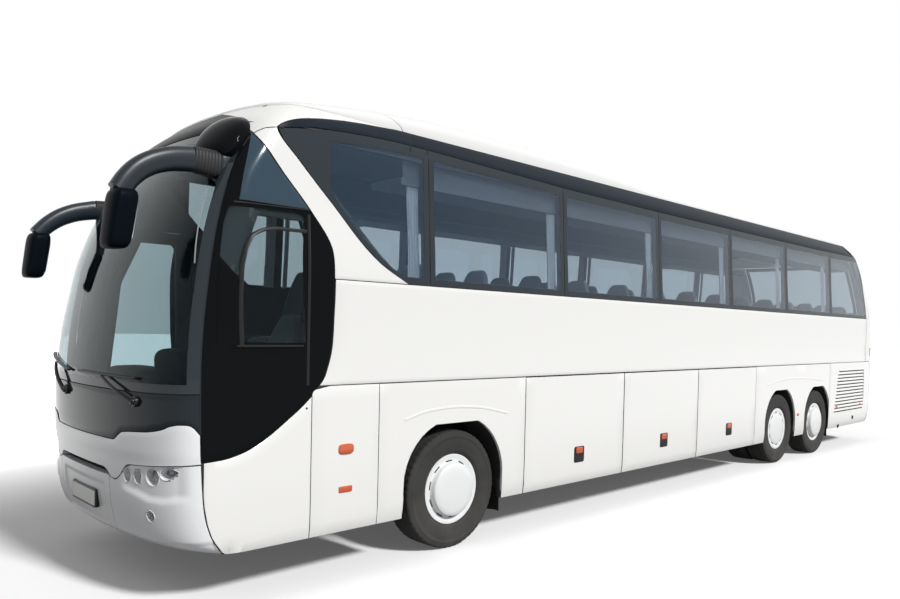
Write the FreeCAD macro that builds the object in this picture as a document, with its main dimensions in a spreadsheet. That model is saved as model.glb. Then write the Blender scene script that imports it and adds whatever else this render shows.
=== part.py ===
"""Three-axle touring coach, about 13.8 m long, as a parametric assembly of separate pieces.

Frame: +X towards the nose, +Y to the coach's left, +Z up, millimetres. The origin lies on the
ground below the middle of the whole coach, mirrors included.
"""
import FreeCAD, Part
import os
import re
import Sketcher

doc = FreeCAD.newDocument("coach")
sheet = doc.addObject("Spreadsheet::Sheet", "Sizes")

# ---- driving dimensions: name, value in mm (or degrees), what it is
cells = [
    ("wheelbase", 6840, "front axle to drive axle"),
    ("front_overhang", 2690, "front axle to nose"),
    ("tag_spacing", 1470, "drive axle to tag axle"),
    ("rear_overhang", 2810, "tag axle to tail"),
    ("body_width", 2550, "over the side panels"),
    ("body_height", 3640, "ground to the crown of the plain roof"),
    ("fairing_rise", 195, "roof crown to the top of the air-conditioning fairing"),
    ("mirror_reach", 225, "mirror heads ahead of the nose"),
    ("skirt", 362, "ground to the lower edge of the panels"),
    ("bumper_top", 860, "seam between bumper and front mask"),
    ("screen_seam", 1400, "lower edge of the windscreen"),
    ("rub_line", 1494, "seam between lower panels and side wall"),
    ("belt", 2294, "lower edge of the side windows"),
    ("band_drop", 260, "roof crown down to the upper edge of the windows"),
    ("cove_drop", 70, "roof crown down to the edge of the roof panel"),
    ("tumblehome", 60, "lean of each side between belt and window top"),
    ("cove_inset", 155, "roof edge inside the side"),
    ("wall", 60, "thickness of walls, doors and roof"),
    ("pane", 12, "thickness of the glass"),
    ("panel_gap", 10, "gap round a moving panel"),
    ("door_gap", 8, "gap round a passenger door"),
    ("seat_gap", 0.3, "running gap where a moving piece is seated"),
    ("pin_gap", 0.08, "radial clearance of a pin in its bore"),
    ("bow", 100, "crown of the nose in plan"),
    ("nose_corner", 330, "length of the rounded front corners"),
    ("nose_corner_width", 345, "width of the rounded front corners"),
    ("tail_bow", 50, "crown of the tail in plan"),
    ("tail_corner", 220, "length of the rounded rear corners"),
    ("tail_corner_width", 300, "width of the rounded rear corners"),
    ("first_post", 350, "first window post ahead of the front axle"),
    ("last_post", 440, "last window post behind the tag axle"),
    ("post_width", 90, "window post behind the glass"),
    ("front_bay_clear", 908, "front axle back to the first luggage door"),
    ("drive_bay_clear", 884, "drive axle forward to the last luggage door"),
    ("deck_height", 1360, "saloon floor"),
    ("cab_height", 950, "cab floor"),
    ("floor_plate", 60, "thickness of the floors"),
    ("belly", 420, "underside of the luggage bay floor"),
    ("plate", 40, "thickness of bay floors and bulkheads"),
    ("rail_low", 760, "underside of the chassis rails"),
    ("rail_high", 890, "top of the chassis rails"),
    ("rail_width", 80, "width of a chassis rail"),
    ("rail_clear", 148, "inner drive tyre to the chassis rail"),
    ("pad_depth", 40, "jacking pad below a chassis rail"),
    ("riser_depth", 60, "step up from the cab floor to the saloon floor"),
    ("rear_seat_room", 1000, "tail to the middle of the rearmost seats, least"),
    ("engine_offset", 320, "tail to the engine's rear face"),
    ("tyre_radius", 522, "295/80 R22.5"),
    ("tyre_width", 298, "295/80 R22.5"),
    ("bead_radius", 286, "rim seat for the tyre"),
    ("rim_width", 210, "over the rim flanges"),
    ("rim_wall", 24, "rim barrel"),
    ("rim_disc", 14, "wheel disc"),
    ("hub_radius", 110, "wheel hub"),
    ("spindle_radius", 40, "wheel spindle"),
    ("wheel_inset", 180, "body side to the outer wheel's mid plane"),
    ("twin_spacing", 338, "between the mid planes of twin wheels"),
    ("kingpin_in", 165, "wheel's mid plane to the kingpin"),
    ("kingpin_radius", 25, "kingpin"),
    ("eye_radius", 55, "axle eye round the kingpin"),
    ("eye_height", 120, "axle eye along the kingpin"),
    ("ear_gap", 10, "axle eye to the knuckle's ears"),
    ("ear", 42, "thickness of the knuckle's ears"),
    ("track_arm", 220, "kingpin back to the tie rod"),
    ("rod_radius", 16, "tie rod"),
    ("rod_pin", 10, "tie rod end pin"),
    ("bellows_radius", 75, "air spring"),
    ("arch_clear", 88, "front tyre to its arch"),
    ("rear_arch_clear", 43, "rear tyres to their arches"),
    ("arch_rise", 76, "tyre top to the top of an arch"),
    ("seat_pitch", 800, "passenger seat rows"),
    ("aisle_half", 240, "middle to the aisle side of the seats"),
    ("seat_clear", 95, "seats to the side wall"),
    ("seat_rise", 1150, "floor to the top of a headrest"),
    ("door_arm", 560, "swing arm of a passenger door"),
    ("arm_in", 155, "swing arm inside the body side"),
    ("post_radius", 22, "swing arm post"),
    ("arm_pin", 12, "pin at the end of a swing arm"),
    ("middle_door_ahead", 1840, "middle door's front edge ahead of the drive axle"),
    ("middle_door_width", 800, "middle door"),
    ("front_door_back", 1370, "front door's rear edge behind the nose"),
    ("front_door_front", 500, "front door's front edge behind the nose"),
    ("front_door_drop", 580, "window top down to the top of the front door"),
    ("front_step_in", 615, "front stairwell into the body"),
    ("middle_step_in", 855, "middle stairwell into the body"),
    ("riser", 20, "thickness of the last riser"),
    ("engine_length", 1200, "engine block"),
    ("engine_low", 500, "ground to the engine block"),
    ("engine_high", 1200, "ground to the top of the engine block"),
    ("door_low", 400, "lower edge of the passenger doors"),
    ("knuckle_bead", 6, "hinge bead of a luggage door"),
    ("hinge_length", 90, "one hinge bead"),
    ("lid_low", 980, "lower edge of the engine lid"),
    ("lid_high", 1750, "top of the engine lid"),
    ("lid_clear", 475, "body side to the engine lid"),
    ("lid_top_gap", 22, "engine lid below the rear wall"),
    ("lid_hinge_out", 180, "middle to an engine lid hinge"),
    ("rear_bumper_top", 940, "seam between rear bumper and rear wall"),
    ("tow_radius", 22, "towing eye socket"),
]
for row, (name, value, note) in enumerate(cells, start=1):
    sheet.set(f"A{row}", name)
    sheet.set(f"B{row}", str(value))
    sheet.set(f"C{row}", note)
    sheet.setAlias(f"B{row}", name)
doc.recompute()
cell_names = {name for name, value, note in cells}

# ---- places worked out from the driving dimensions
derived = {
    "half": "body_width / 2",
    "length": "front_overhang + wheelbase + tag_spacing + rear_overhang",
    "nose_x": "(length - mirror_reach) / 2",
    "axle_x": "nose_x - front_overhang",
    "drive_x": "axle_x - wheelbase",
    "tag_x": "drive_x - tag_spacing",
    "tail_x": "tag_x - rear_overhang",
    "inner_half": "half - wall",
    "track_half": "half - wheel_inset",
    "kingpin_out": "track_half - kingpin_in",
    "arch_half": "tyre_radius + arch_clear",
    "rear_arch_half": "tyre_radius + rear_arch_clear",
    "arch_top": "2 * tyre_radius + arch_rise",
    "seat_width": "inner_half - aisle_half - seat_clear",
    "glass_top": "body_height - band_drop",
    "cove_top": "body_height - cove_drop",
    "mid_glass": "(belt + glass_top) / 2",
    "post_front": "axle_x + first_post",
    "pane_pitch": "(axle_x + first_post - tag_x + last_post) / 5",
    "riser_x": "axle_x + arch_half + 330",
    "front_plate_x": "axle_x + arch_half + 130",
    "engine_x": "tail_x + engine_offset",
    "rail_outer": "track_half - twin_spacing - tyre_width / 2 - rail_clear",
    "rail_inner": "rail_outer - rail_width",
    "bellows_out": "rail_outer - rail_width / 2",
    "lid_half": "half - lid_clear",
    "bay_front": "axle_x - front_bay_clear",
    "bay_rear": "drive_x + drive_bay_clear",
    "bay_pitch": "(bay_front - bay_rear) / 3",
    "hub_z": "tyre_radius",
    "hub_out": "rim_width / 2 - 20",
    "eye_low": "hub_z - eye_height / 2",
    "eye_high": "hub_z + eye_height / 2",
    "ear_low": "eye_low - ear_gap - ear",
    "ear_high": "eye_high + ear_gap + ear",
    "middle_front": "drive_x + middle_door_ahead",
    "middle_back": "middle_front - middle_door_width",
    "door_back": "nose_x - front_door_back",
    "door_front": "nose_x - front_door_front",
    "front_door_top": "glass_top - front_door_drop",
    "tread": "door_low + 20",
    "front_rise": "(cab_height - tread) / 2",
    "middle_rise": "(deck_height - tread) / 4",
    "arm_y": "-half + arm_in",
    "wheel_x": "nose_x - 730",
}


def formula(text):
    """Spreadsheet expression for a formula that uses the names above."""
    def swap(match):
        word = match.group(0)
        if word in derived:
            return "(" + formula(derived[word]) + ")"
        return "Sizes." + word if word in cell_names else word
    return re.sub(r"[a-z_]+[a-z_0-9]*", swap, str(text))


def number(text):
    """Present value of a formula."""
    return float(sheet.evalExpression(formula(text)))


def bind(item, **settings):
    """Ties properties of an object to formulas; __ stands for a dot in the property's path."""
    for path, text in settings.items():
        item.setExpression(path.replace("__", "."), formula(text))
    return item


# ---- building blocks
def box(name, x, y, z):
    """Block between two formulas on each axis."""
    item = doc.addObject("Part::Box", name)
    bind(item, Placement__Base__x=x[0], Placement__Base__y=y[0], Placement__Base__z=z[0])
    bind(item, Length=f"({x[1]}) - ({x[0]})", Width=f"({y[1]}) - ({y[0]})", Height=f"({z[1]}) - ({z[0]})")
    return item


axis_turns = {
    "x": FreeCAD.Rotation(FreeCAD.Vector(0, 1, 0), 90),
    "y": FreeCAD.Rotation(FreeCAD.Vector(1, 0, 0), -90),
    "z": FreeCAD.Rotation(),
}


def rod(name, axis, radius, start, long):
    """Cylinder along x, y or z from a start point."""
    item = doc.addObject("Part::Cylinder", name)
    item.Placement = FreeCAD.Placement(FreeCAD.Vector(), axis_turns[axis])
    bind(item, Radius=radius, Height=long)
    bind(item, Placement__Base__x=start[0], Placement__Base__y=start[1], Placement__Base__z=start[2])
    return item


def outline(sketch, corners):
    """Closed outline in a sketch, every corner tied to its formulas.

    corners: (u, v) for a straight run to that corner, or (u, v, mid_u, mid_v) for an arc to it
    through the middle point.
    """
    points = [FreeCAD.Vector(number(c[0]), number(c[1]), 0) for c in corners]
    edges, crowns, ends = [], [], []
    for i, corner in enumerate(corners):
        a, b = points[i - 1], points[i]
        if len(corner) == 2:
            edges.append(Part.LineSegment(a, b))
            ends.append((1, 2))
            continue
        m = FreeCAD.Vector(number(corner[2]), number(corner[3]), 0)
        anticlockwise = (m - a).cross(b - m).z > 0
        edges.append(Part.Arc(a, m, b) if anticlockwise else Part.Arc(b, m, a))
        ends.append((1, 2) if anticlockwise else (2, 1))
        crowns.append((i, Part.Point(m), corner[2], corner[3]))
    sketch.addGeometry(edges, False)
    rules, ties = [], []
    for i, (u, v) in enumerate((c[0], c[1]) for c in corners):
        after = (i + 1) % len(corners)
        rules.append(Sketcher.Constraint("Coincident", i, ends[i][1], after, ends[after][0]))
        ties += [("DistanceX", i, ends[i][1], u, f"c{i}x"), ("DistanceY", i, ends[i][1], v, f"c{i}y")]
    for i, point, u, v in crowns:
        crown = sketch.addGeometry(point, True)
        rules.append(Sketcher.Constraint("PointOnObject", crown, 1, i))
        ties += [("DistanceX", crown, 1, u, f"m{i}x"), ("DistanceY", crown, 1, v, f"m{i}y")]
    for kind, edge, end, text, tag in ties:
        rules.append(Sketcher.Constraint(kind, -1, 1, edge, end, number(text)))
        rules[-1].Name = tag
    sketch.addConstraint(rules)
    for kind, edge, end, text, tag in ties:
        sketch.setExpression(f"Constraints.{tag}", formula(text))
    return sketch


# plane: turn of the sketch, direction of the extrusion, place property that sets the start
planes = {
    "XY": (FreeCAD.Rotation(), FreeCAD.Vector(0, 0, 1), "Placement__Base__z"),
    "XZ": (FreeCAD.Rotation(FreeCAD.Vector(1, 0, 0), 90), FreeCAD.Vector(0, 1, 0), "Placement__Base__y"),
    "YZ": (FreeCAD.Rotation(FreeCAD.Vector(1, 1, 1), 120), FreeCAD.Vector(1, 0, 0), "Placement__Base__x"),
}


def prism(name, plane, corners, low, high):
    """Outline in one plane, carried from low to high along the third axis."""
    turn, along, place = planes[plane]
    sketch = doc.addObject("Sketcher::SketchObject", name + "_outline")
    sketch.Placement = FreeCAD.Placement(FreeCAD.Vector(), turn)
    outline(sketch, corners)
    bind(sketch, **{place: low})
    item = doc.addObject("Part::Extrusion", name)
    item.Base = sketch
    item.DirMode = "Custom"
    item.Dir = along
    item.Solid = True
    bind(item, LengthFwd=f"({high}) - ({low})")
    return item


def fuse(name, *items):
    item = doc.addObject("Part::MultiFuse", name)
    item.Shapes = list(items)
    return item


def common(name, *items):
    item = doc.addObject("Part::MultiCommon", name)
    item.Shapes = list(items)
    return item


def cut(name, base, *tools):
    item = doc.addObject("Part::Cut", name)
    item.Base = base
    item.Tool = tools[0] if len(tools) == 1 else fuse(name + "_tools", *tools)
    return item


def group(name, *items):
    item = doc.addObject("Part::Compound", name)
    item.Links = list(items)
    return item


parts = {}


def piece(name, item):
    """Registers an object as a sub-part; the label is the name of its file."""
    item.Label = name
    parts[name] = item
    return item


# ---- the body's envelope: level sections in plan
# columns: height, half width inset, nose behind the foremost point, tail ahead of the rearmost
levels = [
    ("skirt", "12", "270", "170"),
    ("700", "0", "20", "20"),
    ("screen_seam", "0", "0", "0"),
    ("belt", "0", "130", "150"),
    ("mid_glass", "tumblehome / 2", "315", "400"),
    ("glass_top", "tumblehome", "640", "840"),
    ("cove_top", "cove_inset", "860", "1190"),
    ("body_height", "cove_inset + 350", "1250", "1600"),
]


def plan(name, height, side, nose, tail):
    """Plan section: bowed nose and tail, rounded corners, straight sides."""
    sketch = doc.addObject("Sketcher::SketchObject", name)
    shoulder = f"({nose}) - bow"
    heel = f"({tail}) + tail_bow"
    in_front = f"({side}) - nose_corner_width"
    in_rear = f"({side}) - tail_corner_width"
    outline(sketch, [
        (shoulder, in_front, nose, "0"),
        (f"{shoulder} - nose_corner", side,
         f"{shoulder} - 0.293 * nose_corner", f"({side}) - 0.293 * nose_corner_width"),
        (f"{heel} + tail_corner", side),
        (heel, in_rear,
         f"{heel} + 0.293 * tail_corner", f"({side}) - 0.293 * tail_corner_width"),
        (heel, f"-({in_rear})", tail, "0"),
        (f"{heel} + tail_corner", f"-({side})",
         f"{heel} + 0.293 * tail_corner", f"-({side}) + 0.293 * tail_corner_width"),
        (f"{shoulder} - nose_corner", f"-({side})"),
        (shoulder, f"-({in_front})",
         f"{shoulder} - 0.293 * nose_corner", f"-({side}) + 0.293 * nose_corner_width"),
    ])
    bind(sketch, Placement__Base__z=height)
    return sketch


def envelope(name, inset, foot="0"):
    """Closed body form, set in all round by inset; foot lowers its base."""
    item = doc.addObject("Part::Loft", name)
    sections = []
    for i, (height, side, nose, tail) in enumerate(levels):
        drop = f"{height} - {foot}" if i == 0 else height
        if i == len(levels) - 1:
            drop = f"{height} - ({inset})"
        if i == len(levels) - 2:
            drop = f"{height} - ({inset}) / 2"
        sections.append(plan(
            f"{name}_{i}", drop, f"half - ({side}) - ({inset})",
            f"nose_x - ({nose}) - ({inset})", f"tail_x + ({tail}) + ({inset})"))
    item.Sections = sections
    item.Solid = True
    item.Ruled = True
    return item


outer = envelope("outer", "0")
room = envelope("room", "wall", "200")
behind_glass = envelope("behind_glass", "pane", "200")
shell = cut("shell", outer, room)
skin = cut("skin", outer, behind_glass)

far = "half + 400"
sides = {"left": ("10", far), "right": (f"-({far})", "-10")}


def nose_at(i, back):
    return f"nose_x - ({levels[i][2]}) - {back}"


def tail_at(i, ahead):
    return f"tail_x + ({levels[i][3]}) + {ahead}"


# ---- zones that share the shell out
front_edge = [  # seam between the front pieces and the sides, from the skirt up
    (nose_at(0, 0), "skirt"), (nose_at(1, 370), "700"), (nose_at(2, 370), "bumper_top"),
    (nose_at(2, 300), "screen_seam"), (nose_at(3, 300), "belt"), (nose_at(4, 230), "mid_glass"),
    (nose_at(5, 170), "glass_top"),
]
ahead = "nose_x + 400"
bumper_zone = prism("bumper_zone", "XZ", [
    (ahead, "0"), (ahead, "bumper_top"), front_edge[2], front_edge[1],
    (nose_at(0, 270), "skirt"), (nose_at(0, 270), "0")], f"-({far})", far)
mask_zone = prism("mask_zone", "XZ", [
    (ahead, "bumper_top"), (ahead, "screen_seam"), front_edge[3], front_edge[2]], f"-({far})", far)
screen_zone = prism("screen_zone", "XZ", [
    (ahead, "screen_seam"), (ahead, "glass_top"), front_edge[6], front_edge[5], front_edge[4],
    front_edge[3]], f"-({far})", far)
cab_corners = [
    (nose_at(2, 370), "bumper_top + 150", "nose_x - 1100", "screen_seam - 70"),
    front_edge[3], front_edge[4], front_edge[5],
    (nose_at(5, 110), "glass_top - 130"),
    ("nose_x - 1400", "belt", "nose_x - 1240", "belt + 410"),
    ("nose_x - 1390", "belt - 400"),
]
rear_edge = [(tail_at(i, 300), levels[i][0]) for i in range(7)]
behind = "tail_x - 400"
rear_zone = prism("rear_zone", "XZ", [
    (behind, "0"), (tail_at(0, 300), "0")] + rear_edge + [(behind, "cove_top")], f"-({far})", far)
roof_zone = prism("roof_zone", "XZ", [
    (behind, "cove_top"), (nose_at(5, 110) + " - 250", "cove_top"), front_edge[6],
    (ahead, "glass_top"), (ahead, "body_height + 100"), (behind, "body_height + 100")],
    f"-({far})", far)


def arch(name, x, reach):
    """Wheel arch opening: straight legs, round shoulders, flat top."""
    return prism(name, "XZ", [
        (f"{x} + {reach}", "0"), (f"{x} + {reach} - 10", "tyre_radius"),
        (f"{x} + {reach} - 360", "arch_top", f"{x} + {reach} - 120", "arch_top - 170"),
        (f"{x} - {reach} + 340", "arch_top"),
        (f"{x} - {reach} + 10", "tyre_radius", f"{x} - {reach} + 110", "arch_top - 190"),
        (f"{x} - {reach}", "0")], f"-({far})", far)


arches = fuse("arches", arch("front_arch", "axle_x", "arch_half"),
              arch("drive_arch", "drive_x", "rear_arch_half"),
              arch("tag_arch", "tag_x", "rear_arch_half"))


def front_door_form(name, grow, low, high):
    """Front door leaf, or its opening when grown."""
    return prism(name, "XZ", [
        (f"door_back - {grow}", f"door_low - {grow}"),
        (f"door_front - 90 + {grow}", f"door_low - {grow}"),
        (f"door_front + {grow}", "bumper_top + 40"),
        (f"door_front + {grow}", "screen_seam + 100"),
        (f"door_front - 100 + {grow}", "belt"),
        (f"door_front - 310 + {grow}", f"front_door_top + {grow}"),
        (f"door_back + 110 - {grow}", f"front_door_top + {grow}"),
        (f"door_back - {grow}", "front_door_top - 130")], low, high)


def middle_door_form(name, grow, low, high):
    """Middle door leaf, or its opening when grown."""
    return box(name, (f"middle_back - {grow}", f"middle_front + {grow}"), (low, high),
               (f"door_low - {grow}", f"belt - 40 + {grow}"))


right = sides["right"]
front_door_hole = front_door_form("front_door_hole", "door_gap", *right)
middle_door_hole = middle_door_form("middle_door_hole", "door_gap", *right)

# ---- windows
def side_panes(side):
    """Outlines of the panes on one side: first pane with its swept edge, five plain, the last."""
    zones = []
    first = [("post_front + 4", "belt"), ("nose_x - 2190", "belt"),
             ("nose_x - 890", "glass_top", "nose_x - 1400", "belt + 530"),
             ("post_front + 4", "glass_top")]
    zones.append(prism(f"pane_{side}_0", "XZ", first, *sides[side]))
    for i in range(5):
        zones.append(box(f"pane_{side}_{i + 1}",
                         (f"post_front - {i + 1} * pane_pitch + 4", f"post_front - {i} * pane_pitch - 4"),
                         sides[side], ("belt", "glass_top")))
    last = [("post_front - 5 * pane_pitch - 4", "belt"), ("post_front - 5 * pane_pitch - 4", "glass_top"),
            (tail_at(5, 304), "glass_top"), (tail_at(4, 304), "mid_glass"), (tail_at(3, 304), "belt")]
    zones.append(prism(f"pane_{side}_6", "XZ", last, *sides[side]))
    return zones


def side_holes(side):
    """Openings behind the panes, a post's width apart and inside the band."""
    rim, post = "60", "post_width / 2"
    zones = [prism(f"hole_{side}_0", "XZ", [
        (f"post_front + {post}", f"belt + {rim}"), ("nose_x - 2000", f"belt + {rim}"),
        ("nose_x - 1050", f"glass_top - {rim}", "nose_x - 1420", "belt + 620"),
        (f"post_front + {post}", f"glass_top - {rim}")], *sides[side])]
    for i in range(5):
        span = (f"post_front - {i + 1} * pane_pitch + {post}", f"post_front - {i} * pane_pitch - {post}")
        zones.append(box(f"hole_{side}_{i + 1}", span, sides[side],
                         (f"belt + {rim}", f"glass_top - {rim}")))
    zones.append(prism(f"hole_{side}_6", "XZ", [
        (f"post_front - 5 * pane_pitch - {post}", f"belt + {rim}"),
        (f"post_front - 5 * pane_pitch - {post}", f"glass_top - {rim}"),
        (tail_at(5, 390), f"glass_top - {rim}"), (tail_at(4, 370), "mid_glass"),
        (tail_at(3, 370), f"belt + {rim}")], *sides[side]))
    return zones


panes = {side: side_panes(side) for side in sides}
holes = {side: side_holes(side) for side in sides}
driver_window = [
    ("nose_x - 1190", "belt - 524"), ("nose_x - 540", "belt - 524"), ("nose_x - 570", "belt"),
    ("nose_x - 730", "belt + 446"), ("nose_x - 1130", "belt + 446"), ("nose_x - 1190", "belt + 306")]
driver_hole = [
    ("nose_x - 1150", "belt - 484"), ("nose_x - 585", "belt - 484"), ("nose_x - 610", "belt"),
    ("nose_x - 760", "belt + 406"), ("nose_x - 1110", "belt + 406"), ("nose_x - 1150", "belt + 286")]
driver_pane = prism("driver_pane", "XZ", driver_window, *sides["left"])
driver_opening = prism("driver_opening", "XZ", driver_hole, *sides["left"])

glass_band = {side: fuse(f"glass_band_{side}", *panes[side]) for side in sides}
piece("side_glass", group(
    "side_glass", *[common(f"glass_{side}_{i}", skin, zone)
                    for side in sides for i, zone in enumerate(panes[side])],
    common("glass_driver", skin, driver_pane)))

# ---- side walls, cab sides and lower panels
cab_zone = {side: prism(f"cab_zone_{side}", "XZ", cab_corners, *sides[side]) for side in sides}
side_box = {side: box(f"side_box_{side}", ("tail_x - 100", "nose_x + 100"), sides[side],
                      ("rub_line", "cove_top")) for side in sides}
low_box = {side: box(f"low_box_{side}", ("tail_x - 100", "nose_x + 100"), sides[side],
                     ("0", "rub_line")) for side in sides}
door_zones = {
    "left": [(i, "left") for i in range(3)],
    "right": [(i, "right") for i in range(2)],
}


def bay_door_box(side, i, name):
    """Place of one luggage door, up to the wall above it."""
    return box(name, (f"bay_front - {i + 1} * bay_pitch", f"bay_front - {i} * bay_pitch"),
               sides[side], ("0", "rub_line + 1"))


for side in sides:
    doors = [front_door_hole, middle_door_hole] if side == "right" else []
    raw = common(f"wall_{side}_raw", shell, side_box[side])
    glazing = common(f"wall_{side}_recess", skin, glass_band[side])
    piece(f"side_wall_{side}", cut(f"side_wall_{side}", raw, rear_zone, screen_zone, cab_zone[side],
                                   roof_zone, glazing, *holes[side], *doors))

left_cab = cut("left_cab", common("left_cab_raw", shell, cab_zone["left"]),
               screen_zone, mask_zone, bumper_zone,
               common("driver_recess", skin, driver_pane), driver_opening)
right_cab = cut("right_cab", common("right_cab_raw", shell, cab_zone["right"]),
                screen_zone, mask_zone, bumper_zone, front_door_hole)
piece("cab_side_panels", group("cab_side_panels", left_cab, right_cab))

low_parts = []
for side in sides:
    doors = [front_door_hole, middle_door_hole] if side == "right" else []
    bays = [bay_door_box(side, i, f"bay_space_{side}_{i}") for i, _ in door_zones[side]]
    raw = common(f"low_{side}_raw", shell, low_box[side])
    low_parts.append(cut(f"low_{side}", raw, bumper_zone, mask_zone, screen_zone, rear_zone,
                         cab_zone[side], arches, *bays, *doors))
piece("lower_panels", group("lower_panels", *low_parts))

# ---- front
lamp_boxes = [box(f"headlamp_place_{i}", (nose_at(1, 300), ahead), (y0, y1),
                  ("bumper_top + 10", "bumper_top + 130"))
              for i, (y0, y1) in enumerate((("half - 675", "half - 195"), ("195 - half", "675 - half")))]
lamp_places = fuse("lamp_places", *lamp_boxes)
mask = cut("mask", common("mask_raw", shell, mask_zone), lamp_places)
piece("front_mask", mask)
tow_bore = rod("tow_bore", "x", "tow_radius", (nose_at(2, 260), "-700", "600"), "400")
tow_boss = rod("tow_boss", "x", "tow_radius + 18", (nose_at(2, 250), "-700", "600"), "170")
bumper_raw = fuse("bumper_raw", common("bumper_skin", shell, bumper_zone),
                  common("tow_boss_trim", tow_boss, outer))
piece("front_bumper", cut("front_bumper", bumper_raw, tow_bore))
piece("windscreen", common("windscreen", skin, screen_zone))

# ---- rear
lid_place = box("lid_place", (behind, tail_at(3, 200)), ("-lid_half", "lid_half"), ("lid_low", "lid_high"))
rear_pane_place = box("rear_pane_place", (behind, tail_at(5, 350)), ("325 - half", "half - 325"),
                      ("belt + 40", "glass_top - 60"))
rear_hole = box("rear_hole", (behind, tail_at(5, 350)), ("385 - half", "half - 385"),
                ("belt + 100", "glass_top - 120"))
tail_lamp_boxes = [box(f"tail_lamp_place_{i}", (behind, tail_at(3, 140)), (y0, y1),
                       ("lid_low + 20", "lid_high - 10"))
                   for i, (y0, y1) in enumerate((("half - 275", far), (f"-({far})", "275 - half")))]
tail_lamp_places = fuse("tail_lamp_places", *tail_lamp_boxes)
rear_raw = cut("rear_raw", common("rear_shell", shell, rear_zone),
               box("rear_low", (behind, tail_at(6, 400)), (f"-({far})", far), ("0", "rear_bumper_top")))
piece("rear_window", common("rear_window", skin, rear_pane_place))
piece("rear_wall", cut("rear_wall", rear_raw, lid_place, common("rear_recess", skin, rear_pane_place),
                       rear_hole, tail_lamp_places))
coupling_bore = rod("coupling_bore", "x", "20", ("tail_x - 10", "0", "620"), "260")
coupling_boss = rod("coupling_boss", "x", "42", ("tail_x + 25", "0", "620"), "225")
bumper_back = common("bumper_back", shell, common("bumper_back_zone", rear_zone, box(
    "rear_low_zone", (behind, tail_at(6, 400)), (f"-({far})", far), ("0", "rear_bumper_top"))))
piece("rear_bumper", cut("rear_bumper", fuse("rear_bumper_raw", bumper_back, coupling_boss), coupling_bore))
piece("lamps", group("lamps", common("headlamps", shell, lamp_places, mask_zone),
                     common("tail_lamps", shell, tail_lamp_places, rear_zone)))

# engine lid: hinged along its top edge
lid_axis_x = "tail_x + 150 * (lid_high - screen_seam) / (belt - screen_seam) + knuckle_bead + 2"
lid_hinge_y = ("-lid_hinge_out - hinge_length / 2", "lid_hinge_out - hinge_length / 2")
lid = common("lid_skin", shell, box("lid_form", (behind, tail_at(3, 200)),
                                    ("-lid_half + panel_gap", "lid_half - panel_gap"),
                                    ("lid_low + panel_gap", "lid_high - lid_top_gap")))
lid_beads = [rod(f"lid_bead_{i}", "y", "knuckle_bead", (lid_axis_x, y, "lid_high - knuckle_bead - seat_gap"),
                 "hinge_length") for i, y in enumerate(lid_hinge_y)]
lid_necks = [box(f"lid_neck_{i}", (lid_axis_x + " - 5.5", lid_axis_x + " + 5.5"),
                 (y, f"{y} + hinge_length"),
                 ("lid_high - lid_top_gap - 10", "lid_high - knuckle_bead - seat_gap"))
             for i, y in enumerate(lid_hinge_y)]
piece("engine_lid", fuse("engine_lid", lid, *lid_beads, *lid_necks))

# ---- roof
roof = cut("roof", common("roof_raw", shell, roof_zone), screen_zone)
piece("roof_panel", roof)


def fairing():
    """Air-conditioning fairing: four plan sections over the front half of the roof."""
    # columns: height, half width, front end behind the nose, rear end behind the front axle
    rows = [
        ("cove_top", "half - cove_inset - 10", "990", "3350"),
        ("cove_top + 0.5 * fairing_rise", "half - cove_inset - 90", "1210", "3240"),
        ("cove_top + 0.87 * fairing_rise", "half - cove_inset - 190", "1740", "3100"),
        ("body_height + fairing_rise", "half - cove_inset - 320", "2390", "2850"),
    ]
    item = doc.addObject("Part::Loft", "fairing_form")
    item.Sections = [plan(f"fairing_{i}", z, side, f"nose_x - {nose}", f"axle_x - {tail}")
                     for i, (z, side, nose, tail) in enumerate(rows)]
    item.Solid = True
    item.Ruled = True
    return item


piece("roof_fairing", cut("roof_fairing", fairing(), outer))

# ---- luggage doors: skin, turned-in top edge, two hinge beads
for side, sign in (("left", 1), ("right", -1)):
    for i, _ in door_zones[side]:
        back = f"bay_front - {i + 1} * bay_pitch + panel_gap / 2"
        front = f"bay_front - {i} * bay_pitch - panel_gap / 2"
        axis_y = f"{sign} * (half - knuckle_bead)"
        axis_z = "rub_line - knuckle_bead - seat_gap"
        leaf = prism(f"bay_leaf_{side}_{i}", "YZ", [
            (f"{sign} * (half - wall)", "skirt"), (f"{sign} * (half - 12)", "skirt"),
            (f"{sign} * half", "700"), (f"{sign} * half", f"{axis_z} - 14"),
            (f"{sign} * (half - 12)", f"{axis_z} - 2"), (f"{sign} * (half - wall)", f"{axis_z} - 2")],
            back, front)
        beads = [rod(f"bead_{side}_{i}_{k}", "x", "knuckle_bead", (x, axis_y, axis_z), "hinge_length")
                 for k, x in enumerate((f"{back} + 200", f"{front} - 200 - hinge_length"))]
        necks = [box(f"neck_{side}_{i}_{k}", (x, f"{x} + hinge_length"),
                     (f"{sign} * (half - knuckle_bead) - 5.5", f"{sign} * (half - knuckle_bead) + 5.5"),
                     (f"{axis_z} - 13", f"{axis_z}"))
                 for k, x in enumerate((f"{back} + 200", f"{front} - 200 - hinge_length"))]
        piece(f"luggage_door_{side}_{i + 1}", fuse(f"luggage_door_{side}_{i + 1}", leaf, *beads, *necks))

# ---- passenger doors on swing arms
# columns: name, pivot x, side on which the arm lies (-1 backwards), window outline
arm_heights = ("560", "1200")


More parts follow.
